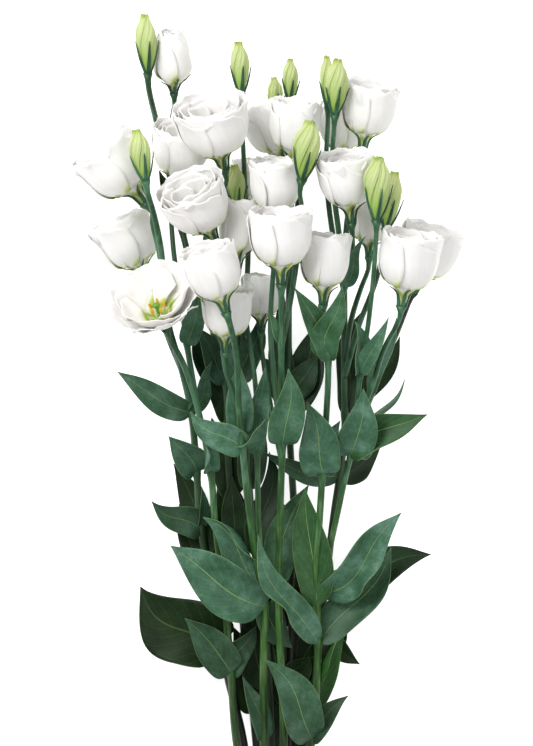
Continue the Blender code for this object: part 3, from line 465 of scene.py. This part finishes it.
def along(points, share):
    """The point at that share of the plain curve through a profile's points."""
    spans = len(points) - 1
    place = min(max(share, 0.0), 1.0) * spans
    i = min(int(place), spans - 1)
    t = place - i
    p1, p2 = Vector(points[i]), Vector(points[i + 1])
    p0 = Vector(points[i - 1]) if i > 0 else 2 * p1 - p2
    p3 = Vector(points[i + 2]) if i + 2 <= spans else 2 * p2 - p1
    return 0.5 * (2 * p1 + (p2 - p0) * t + (2 * p0 - 5 * p1 + 4 * p2 - p3) * t * t
                  + (3 * p1 - 3 * p2 + p3 - p0) * t ** 3)


def at_y(path, y):
    """Where a path crosses that distance along Y."""
    a, b = next((a, b) for a, b in zip(path, path[1:]) if y <= b.y or b is path[-1])
    return a.lerp(b, (y - a.y) / (b.y - a.y))


def new_sheet_mesh():
    """An empty bmesh whose sheets carry a map, a painted shade by depth and a freshness."""
    bm = bmesh.new()
    bm.loops.layers.uv.new("UVMap")
    bm.verts.layers.float.new("shade_amount")
    bm.verts.layers.float.new("fresh")
    return bm


def grid(bm, columns, rows, place, finish=0, shade_amount=0.0, fresh=0.0):
    """Adds a grid. place(u, v) gives each point in millimetres, with u and v from 0 to 1."""
    made = bmesh.ops.create_grid(bm, x_segments=columns, y_segments=rows, size=0.5, calc_uvs=True)
    # Each point carries its painted shade by depth and its freshness.
    deep_shade, green = (bm.verts.layers.float[name] for name in ("shade_amount", "fresh"))
    for vert in made["verts"]:
        vert.co = place(vert.co.x + 0.5, vert.co.y + 0.5)
        vert[deep_shade], vert[green] = shade_amount, fresh
    for face in {f for v in made["verts"] for f in v.link_faces}:
        face.material_index = finish
        face.smooth = True
    return made["verts"]


def closed(bm, verts, finish=0):
    """Joins a rolled-up grid at its seam, fills its ends and turns its faces outwards."""
    bmesh.ops.remove_doubles(bm, verts=verts, dist=1e-5)
    verts = [v for v in verts if v.is_valid]
    rims = [e for e in {e for v in verts for e in v.link_edges} if e.is_boundary]
    for face in bmesh.ops.holes_fill(bm, edges=rims, sides=0)["faces"]:
        face.material_index = finish
        face.smooth = True
    bmesh.ops.recalc_face_normals(bm, faces=list({f for v in verts for f in v.link_faces}))
    return verts


def tube(bm, path, radius_at, sides, finish=0):
    """A grid rolled up along a path, closed at both ends. radius_at(k, turn) gives its radius."""
    heading = (path[1] - path[0]).normalized()
    side = heading.cross(UP).normalized()
    frames = []
    for k, point in enumerate(path):
        ahead = (path[min(k + 1, len(path) - 1)] - path[max(k - 1, 0)]).normalized()
        side = (side - ahead * side.dot(ahead)).normalized()
        frames.append((point, side, ahead.cross(side)))

    def place(u, v):
        k = round(v * (len(path) - 1))
        centre, across, up = frames[k]
        turn = 2 * pi * u
        return centre + (across * cos(turn) + up * sin(turn)) * radius_at(k, turn)

    return closed(bm, grid(bm, sides, len(path) - 1, place, finish), finish)


def placed(name, data):
    """Puts an object of that name into the scene. A bmesh is made a mesh first."""
    if isinstance(data, bmesh.types.BMesh):
        bm, data = data, bpy.data.meshes.new(name)
        bm.to_mesh(data)
        bm.free()
    made = bpy.data.objects.new(name, data)
    bpy.context.scene.collection.objects.link(made)
    return made


def new_piece(name, bm, finishes, nodes, thickness=None, sharp=None):
    """Makes a piece from a bmesh in millimetres, which rides on the bunch in place of its solids."""
    bmesh.ops.transform(bm, matrix=Matrix.Scale(0.001, 4), verts=bm.verts)
    piece = placed(name, bm)
    if sharp:
        piece.data.set_sharp_from_angle(angle=radians(sharp))
    for finish in finishes:
        piece.data.materials.append(finish)
    if thickness:
        wall = piece.modifiers.new("thickness", "SOLIDIFY")
        wall.thickness, wall.offset = thickness[0] * 0.001, thickness[1]
    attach(piece, "root")
    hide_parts(*nodes)
    return piece


def faces_of(pieces):
    return sum(len(piece.data.polygons) for piece in pieces)


# %% [markdown]
# ## The stems' routes
#
# A main stem is one long curve. A side shoot leaves it at its own distance along the bunch, passes its own
# points and ends 0.35 mm under its flower. Each shoot needs its parent's finished curve, so the routes are
# worked out by asking for the parent first.

# %% Routes of the main stems and shoots
STEP = 6.0  # mm between the rings of a stem
SEAT_GAP = 0.35


def axis_of(flower):
    """The way a flower points."""
    lean, nod = radians(flower.lean), radians(flower.nod)
    return Vector((sin(lean) * cos(nod), cos(lean) * cos(nod), sin(nod)))


def trunk_of(parent):
    """The flower at the end of a main stem, from the stem's letter. A flower's own name is given back."""
    return next((n for n in FLOWERS if FLOWERS[n].parent == (parent, None)), parent)


def stem_of(name):
    """The letter of the main stem that carries a flower."""
    while name not in STEMS:
        name = FLOWERS[name].parent[0]
    return name


routes = {}


def route(name):
    """The curve that a flower's shoot follows, from the stem that it leaves or from the cut end."""
    if name not in routes:
        flower = FLOWERS[name]
        parent, y = flower.parent
        seat, axis = Vector(flower.seat), axis_of(flower)
        start = STEMS[parent] if y is None else (at_y(route(trunk_of(parent)), y),)
        routes[name] = curve((*start, *flower.by, seat - axis * 10, seat - axis * SEAT_GAP), STEP)
    return routes[name]


print("routes:", sum(len(route(name)) for name in FLOWERS), "points")

# %% [markdown]
# ## A bloom's side
#
# Seen from the side, a young bloom is a tight barrel, a fresh one a goblet and an old one a bowl. Three
# profiles hold these forms as shares of radius and height, and a bloom's openness mixes them.


# %% The side of a bloom
def side_of(openness, share):
    """(radius, height) at that share of a bloom's side, as shares of its size."""
    first, second, between = ((TIGHT_SIDE, CUP_SIDE, openness * 2) if openness < 0.5
                              else (CUP_SIDE, OPEN_SIDE, openness * 2 - 1))
    return along(first, share).lerp(along(second, share), between)


def foot_radius(flower):
    """The radius inside a flower's sepals."""
    side = Vector(BUD_SIDE[0]) if flower.open is None else side_of(flower.open, 0.0)
    return side.x * flower.size[0] / cos(pi / PETALS) + SEAT_GAP


def seat_matrix(flower, turn):
    """Turns a flower from its own frame, standing on the origin, to its seat."""
    facing = axis_of(flower).to_track_quat("Z", "Y").to_matrix().to_4x4()
    return Matrix.Translation(Vector(flower.seat)) @ facing @ Matrix.Rotation(radians(turn), 4, "Z")


# %% [markdown]
# ## Petals
#
# Five outer petals stand on one narrow tube, each lapping the next like roof tiles, and a double bloom
# holds up to three more whorls inside. They could be one turned cup, but then no margins would show, and
# it is the margins that make a lisianthus: broad, rounded, a little frilled and rolling outwards. So each
# petal is its own sheet. Its formula starts from the bloom's side and adds small things in turn: the
# lap, a belly across the petal, a rounded rim and the frill.

# %% Blooms
PETAL_THICKNESS = 0.45
LARGE_PETAL, SMALL_PETAL = (20, 24), (16, 20)  # columns and rows of a petal's grid
WHORLS = (
    # petals, scale of radius, scale of height, turn in degrees, lap in degrees, share of the side where it
    # leaves the tube, frill, roll of the rim outwards, how far one margin stands out from the other, and how
    # close to the table its points may come, both in mm
    (5, 1.00, 1.00, 0, 34, 0.25, 1.0, 1.0, 1.2, 0.2),
    (4, 0.82, 0.975, 36, 40, 0.28, 0.9, 0.4, 2.4, 0.9),
    (3, 0.58, 0.95, 10, 45, 0.32, 0.8, 0.0, 3.6, 1.6),
    (2, 0.34, 0.90, 50, 60, 0.34, 0.6, 0.0, 3.0, 2.2),
)
OPEN_WHORLS = (
    (5, 1.00, 1.00, 0, 18, 0.25, 1.1, 1.2, 1.2, 0.2),
    (3, 0.80, 0.95, 20, 20, 0.28, 0.9, 0.5, 3.0, 0.9),
)


def petal_place(flower, whorl, petal, draws, rng):
    """The formula of one petal, in the bloom's own frame."""
    count, wide, tall, turn, lap, root, frilly, rolled, stagger, _ = whorl
    radius, height = flower.size
    openness = flower.open
    wild = smooth(0.7, 1.0, openness)
    phase = [rng.uniform(0, 2 * pi) for _ in range(4)]
    frill = (0.5 + 1.5 * smooth(0.1, 0.9, openness)) * frilly
    twist = radians(mix(85, 42, smooth(0.0, 0.4, openness)) - 30 * wild)
    roll = mix(-0.8, 3.8, smooth(0.2, 0.8, openness)) * rolled * rng.uniform(0.6, 1.3)
    drop, skew = rng.uniform(0.15, 0.23) + 0.08 * wild, rng.uniform(-0.03, 0.07)
    dent = rng.uniform(-0.6, 0.6)
    size = rng.uniform(0.95, 1.0 + 0.04 * (1 - wild)) - 0.1 * wild * rng.random()
    lean = draws[1] * (1.2 + 3.0 * wild)

    def place(u, v):
        across = 2 * u - 1
        top = size - drop * abs(across) ** 2.4 - skew * across
        top -= 0.02 * cos(9 * (across - dent)) * abs(across)
        share = v if v < root else root + (v - root) * top
        free = smooth(root, root + 0.25, share)
        here, ahead = side_of(openness, share), side_of(openness, share + 0.02)
        out = Vector(((ahead.y - here.y) * height, -(ahead.x - here.x) * radius)).normalized()
        belly = sin(pi * min(max((share - 0.2) / 0.75, 0), 1))
        rim = max((v - 0.66) / 0.34, 0.0)
        wave = sin(2.4 * pi * across + phase[0]) + 0.5 * sin(4.7 * pi * across + phase[1])
        bend = (draws[0] * (across * across - across) / 2 + draws[2] * (across * across + across) / 2)
        # In turn: one margin out, the belly, soft bends, the lap, the frill and the rolled rim.
        push = (stagger * across * free + belly * (1.6 * (1 - across * across) - 0.7)
                + (1.5 * bend + lean * (1 - across * across)) * free * share
                + 1.4 * smooth(0.45, 1.0, across) * free * (1 - rim)
                + frill * 0.6 * wave * rim ** 1.5 + roll * rim ** 2.0 * (0.4 + 0.6 * abs(across)))
        push -= 1.3 * (1 - free) * abs(across) ** 3 * smooth(0.10, root, share)
        r = here.x * radius * mix(1.0, wide, free) + out.x * push
        h = here.y * height * mix(1.0, tall, share) + out.y * push
        h += frill * rim ** 1.6 * (0.6 * sin(3.1 * pi * across + phase[2])
                                   + 0.3 * sin(9 * pi * across + phase[3]))
        width = radians(180 / count + 1.5 + lap * smooth(root, 0.74, share))
        angle = 2 * pi * petal / count + radians(turn) + width * across
        angle -= twist * (share - root) * free
        return Vector((cos(angle) * r, sin(angle) * r, h))

    return place


def make_bloom(name, flower, rng):
    """One bloom, whose petals lie in as many whorls as its openness leaves room for."""
    bends = [[rng.uniform(-0.5, 0.9) for _ in range(3)] for _ in range(10)]
    drawn = rng.uniform(0, 72)
    seat = seat_matrix(flower, drawn if flower.turn is None else flower.turn)
    bm = new_sheet_mesh()
    columns, rows = LARGE_PETAL if flower.size[0] > 16 else SMALL_PETAL
    kept = WHORLS[:3] if flower.open > 0.5 and flower.nod > 20 else WHORLS
    kept = OPEN_WHORLS if flower.open > 0.9 else kept
    for w, whorl in enumerate(kept):
        for petal in range(whorl[0]):
            draws = bends[(5 * w + petal) % 10]
            place = petal_place(flower, whorl, petal, draws, rng)

            def seated(u, v):
                point = seat @ place(u, v)
                point.z = max(point.z, whorl[-1])
                return point

            grid(bm, columns, rows, seated)
    return new_piece("petals_" + name[-2:], bm, (PETAL,), (name,), (PETAL_THICKNESS, -1))


petals = [make_bloom(name, FLOWERS[name], random.Random(100 + i))
          for i, name in enumerate(FLOWERS) if name.startswith("bloom")]
print("blooms:", len(petals), "with", faces_of(petals), "faces before thickness")

# %% [markdown]
# ## Buds
#
# In a bud the five petals are wound round each other, and each one's margin shows as a slanting edge from
# the foot to the crumpled point. One rolled-up grid can show all five: its radius drops by a step at each
# margin and climbs back slowly, and the whole pattern turns on the way up.

# %% Bud forms
BUD_TWIST = radians(130)
BUD_GRID = (90, 34)


def make_bud(name, flower, rng):
    """One bud, whose radius steps down at each petal's margin."""
    seat = seat_matrix(flower, rng.uniform(0, 72))
    radius, height = flower.size
    phase = [rng.uniform(0, 2 * pi) for _ in range(3)]
    bm = new_sheet_mesh()

    def place(u, v):
        here = along(BUD_SIDE, v)
        wound = (PETALS * u) % 1.0
        step = 0.20 * smooth(0.02, 0.3, v)
        crumple = max((v - 0.76) / 0.24, 0.0)
        r = 1.04 - step * (1 - wound) ** 1.8 + 0.05 * sin(6 * pi * wound) * smooth(0.2, 0.6, v)
        r += crumple * 0.16 * sin(22 * pi * u + 3 * v + phase[0])
        r += crumple * 0.14 * sin(10 * pi * u)
        r *= radius * here.x * (1 + 0.05 * sin(2 * pi * (2 * u + v) + phase[1]))
        ragged = sin(6 * pi * u + phase[2]) + sin(18 * pi * u)
        h = height * (here.y + 0.014 * crumple * ragged)
        angle = 2 * pi * u + BUD_TWIST * v
        return seat @ Vector((cos(angle) * r, sin(angle) * r, h))

    closed(bm, grid(bm, *BUD_GRID, place))
    return new_piece("bud_petals_" + name[-2:], bm, (BUD,), (name,), sharp=32)


buds = [make_bud(name, FLOWERS[name], random.Random(100 + i))
        for i, name in enumerate(FLOWERS) if name.startswith("bud")]
print("buds:", len(buds), "with", faces_of(buds), "faces")

# %% [markdown]
# ## Stems and shoots
#
# A stem is a tube with four soft ridges that swells a little at each leaf pair and again under its flower,
# where it becomes the cup that holds the tube. Where shoots leave it the tubes simply run into each other,
# as they do on the plant.

# %% Stems
STEM_RADIUS, STEM_TIP_RADIUS = 3.4, 2.1
SHOOT_RADIUS, PEDICEL_RADIUS = 2.3, 1.6
SEPAL_STEP = 0.9
STALK_SIDES = 12


def add_stalk(bm, name, radii, knots):
    """A shoot from its foot to its flower. knots are the distances along Y of its leaf pairs."""
    path, flower = route(name), FLOWERS[name]
    gone = [0.0]
    for a, b in zip(path, path[1:]):
        gone.append(gone[-1] + (b - a).length)
    rim = foot_radius(flower) + SEPAL_STEP

    def radius_at(k, turn):
        plain = mix(*radii, gone[k] / gone[-1])
        knot = max([exp(-((path[k].y - y) / 4) ** 2) for y in knots], default=0.0)
        cup = smooth(-9, 0, gone[k] - gone[-1]) ** 2
        return mix(plain * (1 + 0.04 * cos(4 * turn)) + 0.7 * knot, rim, cup)

    # Painted shade: a point is darker the lower it lies under the bunch, and a fixed 0.2 darker below 90 mm
    # along Y.
    layer = bm.verts.layers.float["shade_amount"]
    for vert in tube(bm, path, radius_at, STALK_SIDES):
        vert[layer] = smooth(-60, -14, -vert.co.z) if vert.co.y > 90 else 0.2


def names_on(letter):
    """The flowers of a main stem, its own first."""
    trunk = trunk_of(letter)
    return [trunk] + [n for n in FLOWERS if n != trunk and stem_of(n) == letter]


def make_stalks(letter):
    """A main stem with all its shoots."""
    bm = new_sheet_mesh()
    for i, name in enumerate(names_on(letter)):
        owners = (name, letter) if i == 0 else (name,)
        knots = [leaf[1] for leaf in LEAVES if leaf[0] in owners]
        radii = (STEM_RADIUS, STEM_TIP_RADIUS) if i == 0 else (SHOOT_RADIUS, PEDICEL_RADIUS)
        add_stalk(bm, name, radii, knots)
    return new_piece("stalks_" + letter, bm, (STEM,), ("stem_" + letter,))


stalks = [make_stalks(letter) for letter in STEMS]
print("stems:", len(stalks), "with", faces_of(stalks), "faces")

# %% [markdown]
# ## Leaves and sepals
#
# Leaves sit in pairs straight on the stem, without stalks, and their broad feet clasp it. The blade folds
# along its rib, waves a little at the margin and bows over towards its point. Sepals are the same kind of
# sheet made narrow: they run up the tube and let go of it where the petals swell, like five thin hooks.

# %% Leaves and sepals
# A leaf's width along it, as shares of its length and greatest width.
LEAF_PROFILE = ((0.00, 0.12), (0.02, 0.42), (0.05, 0.64), (0.10, 0.83), (0.18, 0.96), (0.28, 1.00),
                (0.40, 0.97), (0.54, 0.84), (0.68, 0.63), (0.82, 0.36), (0.93, 0.13), (1.00, 0.01))
LARGE_LEAF, SMALL_LEAF = (16, 34), (12, 24)  # columns and rows of a leaf's grid
# Margins that aren't flat, by the leaf's place in the list: side of the fold, where it starts across the
# leaf, and its middle and spread along the leaf. A start of 2 pinches the leaf there instead.
ODD_LEAVES = {2: (1, 0.50, 0.62, 0.26), 14: (-1, 2.0, 0.46, 0.13), 17: (1, 2.0, 0.40, 0.14),
              31: (-1, 0.4, 0.5, 0.3), 74: (-1, 0.45, 0.5, 0.4)}
# How much of its wax a leaf has lost. A young one has none yet.
PLAIN_GREEN = {1: 0.7, 8: 0.2, 10: 0.6, 11: 0.5, 12: 0.3, 13: 0.6, 15: 0.4, 16: 0.9, 20: 0.5, 21: 0.5,
               24: 0.8, 50: 0.6, 74: 1.0}
# How far the foot of a leaf lies in front of its stem, in mm, where the usual distance would make two cross.
FRONT = {29: 3.2, 30: -0.6}
LEAF_THICKNESS = 0.6
SEPAL_WIDTH = 2.5


def profile_at(profile, share):
    """A value at that share, on a smooth rise and fall between the profile's points."""
    (a, low), (b, high) = next((p, q) for p, q in zip(profile, profile[1:])
                               if share <= q[0] or q is profile[-1])
    return mix(low, high, (share - a) / (b - a))


SOFT_PROFILE = curve(LEAF_PROFILE, 0.02)


def add_leaf(bm, number, base, leaf, rng):
    """One blade from its foot on the stem. number is its place in the list."""
    _, _, tip, width, roll, arch, bend = leaf
    run = Vector(tip) - base
    heading = run.normalized()
    side = Matrix.Rotation(radians(roll), 3, heading) @ heading.cross(UP).normalized()
    up = side.cross(heading)
    wave, phase = rng.uniform(0.06, 0.13), (rng.uniform(0, 6.28), rng.uniform(0, 6.28))
    # Painted shade: the lower the leaf lies under the bunch, the darker it is painted.
    shade_amount = smooth(-62, -22, -0.6 * tip[2] - 0.4 * base.z)
    green = PLAIN_GREEN.get(number, 0.0)
    # A wholly plain-green leaf gets no painted shade.
    if green == 1.0:
        shade_amount = 0.0
    front = FRONT.get(number, (2.6, 1.2)[number % 2]) if tip[2] > base.z + 2 else -1.2
    lobe = 0.27 * width * rng.uniform(0.7, 1.3)
    shape = mix(1.0, 1.3, smooth(45, 85, run.length))
    sway = rng.uniform(-0.05, 0.05) * run.length
    odd, start, middle, spread = ODD_LEAVES.get(number, (0, 1.0, 0.5, 1.0))

    def place(u, v):
        across = 2 * u - 1
        v **= 1.35
        swell = 4 * v * (1 - v)
        rib = base + run * v + up * (arch * swell) + side * (bend * swell + sway * sin(2 * pi * v))
        rib += UP * (front * (1 - smooth(0.0, 0.45, v)))
        half = width / 2 * profile_at(SOFT_PROFILE, v ** shape) * 1.06
        rib -= heading * (lobe * (abs(across) * 2 * half / width) ** 1.3 * (1 - smooth(0.0, 0.3, v)))
        lift = 0.22 * abs(across) ** 1.7 - 0.5 * (across * across) * (1 - smooth(0.0, 0.16, v)) * (front > 0)
        lift += wave * sin(2 * pi * 1.5 * v + phase[across > 0]) * across ** 2
        here = exp(-((v - middle) / spread) ** 2)
        if across * odd > 0 and start > 1:
            lift += 0.55 * here * across * across
            across *= 1 - 0.5 * here
        elif across * odd > start:
            over = (abs(across) - start) * here
            lift += 0.9 * sin(min(over * 5, pi * 0.6)) * 0.5
            across -= odd * over * 1.7
        return rib + side * (half * across * 0.98) + up * (half * lift - 0.02 * width * v ** 4)

    columns, rows = LARGE_LEAF if run.length > 60 else SMALL_LEAF
    grid(bm, columns, rows, place, 0, shade_amount, green * (1 - shade_amount))


def add_sepal(bm, flower, start, out, heading, draw):
    """One sepal, which keeps clear of its bloom's side or its bud by about a millimetre."""
    radius, height = flower.size
    if flower.open is not None:
        clear = ((0.24, 0.9, -0.4), (0.34, 1.2, -1.0), (0.44 + draw, 1.7, -1.2))
        sides = [(side_of(flower.open, share), wide, tall) for share, wide, tall in clear]
        bent, free, point = ((side.x * radius + wide, side.y * height + tall) for side, wide, tall in sides)
    else:
        bent, free = (radius * 0.62 + 0.8, height * 0.16), (radius * 0.90 + 0.8, height * 0.34)
        point = (radius + 1.8, height * (0.54 + draw))
    foot = foot_radius(flower) + 0.45
    stops = [start + out * r + heading * h for r, h in ((foot - 0.4, -1.5), (foot, 1.0), bent, free, point)]
    spine = curve(stops, 1.5)
    across = out.cross(heading)

    def place(u, v):
        at = v * (len(spine) - 1)
        k = min(int(at), len(spine) - 2)
        middle = spine[k].lerp(spine[k + 1], at - k)
        middle.z = max(middle.z, 0.6)
        half = SEPAL_WIDTH / 2 * (1 - v) ** 0.6 * (1 + 0.25 * sin(pi * v)) + 0.12
        edge = 2 * u - 1
        return middle + across * half * edge - out * (0.8 * half * edge * edge)

    grid(bm, 4, 12, place, 1)


def make_leaves(i, letter):
    """All leaves and sepals of a main stem and its shoots."""
    bm = new_sheet_mesh()
    rng = random.Random(i)
    for name in names_on(letter):
        path, flower = route(name), FLOWERS[name]
        heading = axis_of(flower)
        side = heading.cross(UP).normalized()
        rise = side.cross(heading)
        for k in range(PETALS):
            turn = 2 * pi * (k + 1) / PETALS
            out = side * cos(turn) + rise * sin(turn)
            add_sepal(bm, flower, path[-1], out, heading, rng.uniform(-0.04, 0.04))
    for number, leaf in enumerate(LEAVES + BACK_LEAVES):
        owner = trunk_of(letter) if leaf[0] == letter else leaf[0]
        if owner in names_on(letter):
            add_leaf(bm, number, at_y(route(owner), leaf[1]), leaf, rng)
    return new_piece("leaves_" + letter, bm, (LEAF, SEPAL), ("stem_" + letter,),
                     (LEAF_THICKNESS, 0))


leaves = [make_leaves(i, letter) for i, letter in enumerate(STEMS)]
print("leaves and sepals:", faces_of(leaves), "faces before thickness")

# %% [markdown]
# ## The heart of the open bloom
#
# Only the widest bloom shows what is inside: a green knob with two lobes, which catches pollen, and round it
# five pale stalks that carry yellow-orange pollen bags. They are all tubes again, with radii that swell
# where the organ does, so the same helper makes them.

# %% Knob, stalks and pollen bags
def grainy_finish(name, stops, grain, roughness):
    """A matt surface in two tones of a fine grain, in grains a metre."""
    material, add, shader = finish_of(name)
    where = add("TexCoord", output="Object")
    noise = add("TexNoise", {"Vector": where, "Scale": grain, "Detail": 3.0})
    tint = ramp(add, noise, stops)
    bump = add("Bump", {"Height": noise, "Strength": 0.5, "Distance": 0.0004})
    feed(shader, {"Base Color": tint, "Normal": bump, "Roughness": roughness})
    return material


KNOB = grainy_finish("velvety knob, green", ((0.35, "#3f7a26"), (0.65, "#7fae3c")), 1400.0, 0.6)
STALK = grainy_finish("stalk of a pollen bag, pale", ((0.35, "#d5dea0"), (0.65, "#eef0cf")), 800.0, 0.5)
POLLEN = grainy_finish("pollen, yellow-orange", ((0.35, "#e09206"), (0.65, "#f7c02a")), 2600.0, 0.9)
# The knob's radius at each height, in mm.
KNOB_SIDE = ((0.0, 2.4), (1.5, 2.5), (4.0, 1.7), (8.0, 1.4), (9.5, 1.8), (11.4, 2.8), (12.8, 2.3),
             (13.5, 0.9))


def make_stamens(flower):
    """The knob and five pollen bags on their stalks, above the tube of the open bloom."""
    bm = new_sheet_mesh()
    seat = seat_matrix(flower, 0)
    floor = side_of(flower.open, 0.36).y * flower.size[1] * 0.93 + 0.9
    heights = [13.5 * k / 27 for k in range(28)]

    def knob_radius(k, turn):
        lobes = 0.22 * cos(2 * turn) * smooth(8.5, 11.5, heights[k])
        return profile_at(KNOB_SIDE, heights[k]) * (1 + lobes)

    tube(bm, [seat @ (UP * (floor + h)) for h in heights], knob_radius, 24, 0)
    for i in range(PETALS):
        angle = 2 * pi * (i + 0.5) / PETALS
        out = Vector((cos(angle), sin(angle), 0))
        stalk = [out * r + UP * (floor + h) for r, h in ((0.9, 1.6), (3.2, 4.2), (4.6, 7.4))]
        tube(bm, curve([seat @ p for p in stalk], 0.5), lambda k, turn: 0.4, 8, 1)
        bag = [out * r + UP * (floor + h) for r, h in ((4.8, 7.4), (5.5, 10.0), (5.9, 12.6))]
        path = curve([seat @ p for p in bag], 0.3)

        def bag_radius(k, turn):
            swell = sin(pi * (0.08 + 0.84 * k / (len(path) - 1))) ** 0.5
            return 1.15 * swell * (0.8 + 0.2 * abs(cos(turn)))

        tube(bm, path, bag_radius, 14, 2)
    return new_piece("knob_and_pollen", bm, (KNOB, STALK, POLLEN), ("stamens_07",))


stamens = make_stamens(FLOWERS["bloom_07"])
print("heart of the open bloom:", len(stamens.data.polygons), "faces")

# %% [markdown]
# ## The twine
#
# Below the picture's edge the cut ends need something to hold them, and a few turns of garden twine do. A
# band with painted stripes would look flat, so one real cord is wound round the stems. It is drawn tight,
# so it follows the outline that a band would have, and it climbs by its own width at each turn. Its two
# plies show as a slow twist of the section.

# %% Twine
TIE_LENGTH, TIE_SIDES = 12.0, 20
CORD_RADIUS, CORD_TURNS, PLY_LENGTH = 0.8, 7, 4.2  # mm, turns, mm
TWINE = grainy_finish("jute twine, brown", ((0.35, "#7d5f39"), (0.65, "#c2a274")), 1800.0, 0.9)


def band_outline(clearance, underside):
    """The corners of the tightest band round the stems at that clearance, in the XZ plane."""
    sides = []
    for step in range(TIE_SIDES):
        angle = 2 * pi * step / TIE_SIDES
        way = Vector((cos(angle), 0, sin(angle)))
        reach = max(at_y([Vector(p) for p in path], y).dot(way)
                    for path in STEMS.values() for y in (-TIE_LENGTH / 2, 0, TIE_LENGTH / 2))
        sides.append((way, reach + STEM_RADIUS + clearance))
    sides[TIE_SIDES * 3 // 4] = (-UP, -underside)
    corners = []
    for (way, far), (other, beyond) in zip(sides, sides[1:] + sides[:1]):
        cross = way.x * other.z - way.z * other.x
        corners.append(Vector((far * other.z - beyond * way.z, 0, way.x * beyond - other.x * far)) / cross)
    return corners


def make_twine():
    """One cord wound tightly round the stems."""
    bm = new_sheet_mesh()
    corners = band_outline(SEAT_GAP + CORD_RADIUS, CORD_RADIUS)
    corners = corners[-5:] + corners[:-5]
    wound = [corners[k % TIE_SIDES].copy() for k in range(CORD_TURNS * TIE_SIDES + 1)]
    for k, point in enumerate(wound):
        point.y = (TIE_LENGTH - 2 * CORD_RADIUS) * (k / (len(wound) - 1) - 0.5)
    path = curve(wound, 0.6)
    ply = 2 * pi * 0.6 / PLY_LENGTH

    def cord_radius(k, turn):
        return CORD_RADIUS * (0.80 + 0.22 * abs(cos(turn - ply * k / 2)))

    tube(bm, path, cord_radius, 12)
    return new_piece("twine", bm, (TWINE,), ("tie",))


twine = make_twine()
print("twine:", len(twine.data.polygons), "faces")

# %% [markdown]
# ## The light and the camera
#
# The bunch is photographed from straight above on a lit white table. The camera stands 3 m over it and is
# long, so the view is almost flat. A white surround and two broad lamps keep the shade soft.

# %% Camera, table and light
CAMERA_HEIGHT = 3.0
VIEW_HEIGHT = 0.560  # metres of the bunch that the picture holds from top to bottom
FOCUS = Vector((-0.004, 0.390, 0.070))

camera = bpy.data.cameras.new("camera")
camera.sensor_fit, camera.sensor_height = "VERTICAL", 36
camera.lens = 36 * CAMERA_HEIGHT / VIEW_HEIGHT
eye = placed("camera", camera)
eye.location = FOCUS + UP * CAMERA_HEIGHT
bpy.context.scene.camera = eye

bm = bmesh.new()
bmesh.ops.create_grid(bm, x_segments=1, y_segments=1, size=3.0)
bmesh.ops.translate(bm, vec=(0, 0.3, cad_box[0].z - 0.0005), verts=bm.verts)
table = placed("table", bm)
white, _, shader = finish_of("lit white table")
feed(shader, {"Base Color": srgb("#f4f4f4"), "Roughness": 0.9, "Emission Color": srgb("#ffffff"),
              "Emission Strength": 0.74})
table.data.materials.append(white)

surround = bpy.data.worlds.new("white surround")
surround.use_nodes = True
feed(surround.node_tree.nodes["Background"], {"Color": srgb("#ffffff"), "Strength": 0.45})
bpy.context.scene.world = surround
bpy.context.scene.view_settings.view_transform = "Standard"

for name, place, width, power in (("key", (-0.8, 1.2, 1.4), 0.8, 25.0), ("fill", (0.9, 0.1, 1.3), 1.2, 7.0)):
    lamp = bpy.data.lights.new(name, "AREA")
    lamp.size, lamp.energy = width, power
    hung = placed(name, lamp)
    hung.location = place
    hung.rotation_euler = (FOCUS - Vector(place)).to_track_quat("-Z", "Y").to_euler()
print("camera, table and light placed")

# %% Size of the frame
print("cad box (mm):", [round(1000 * x) for corner in cad_box for x in corner])
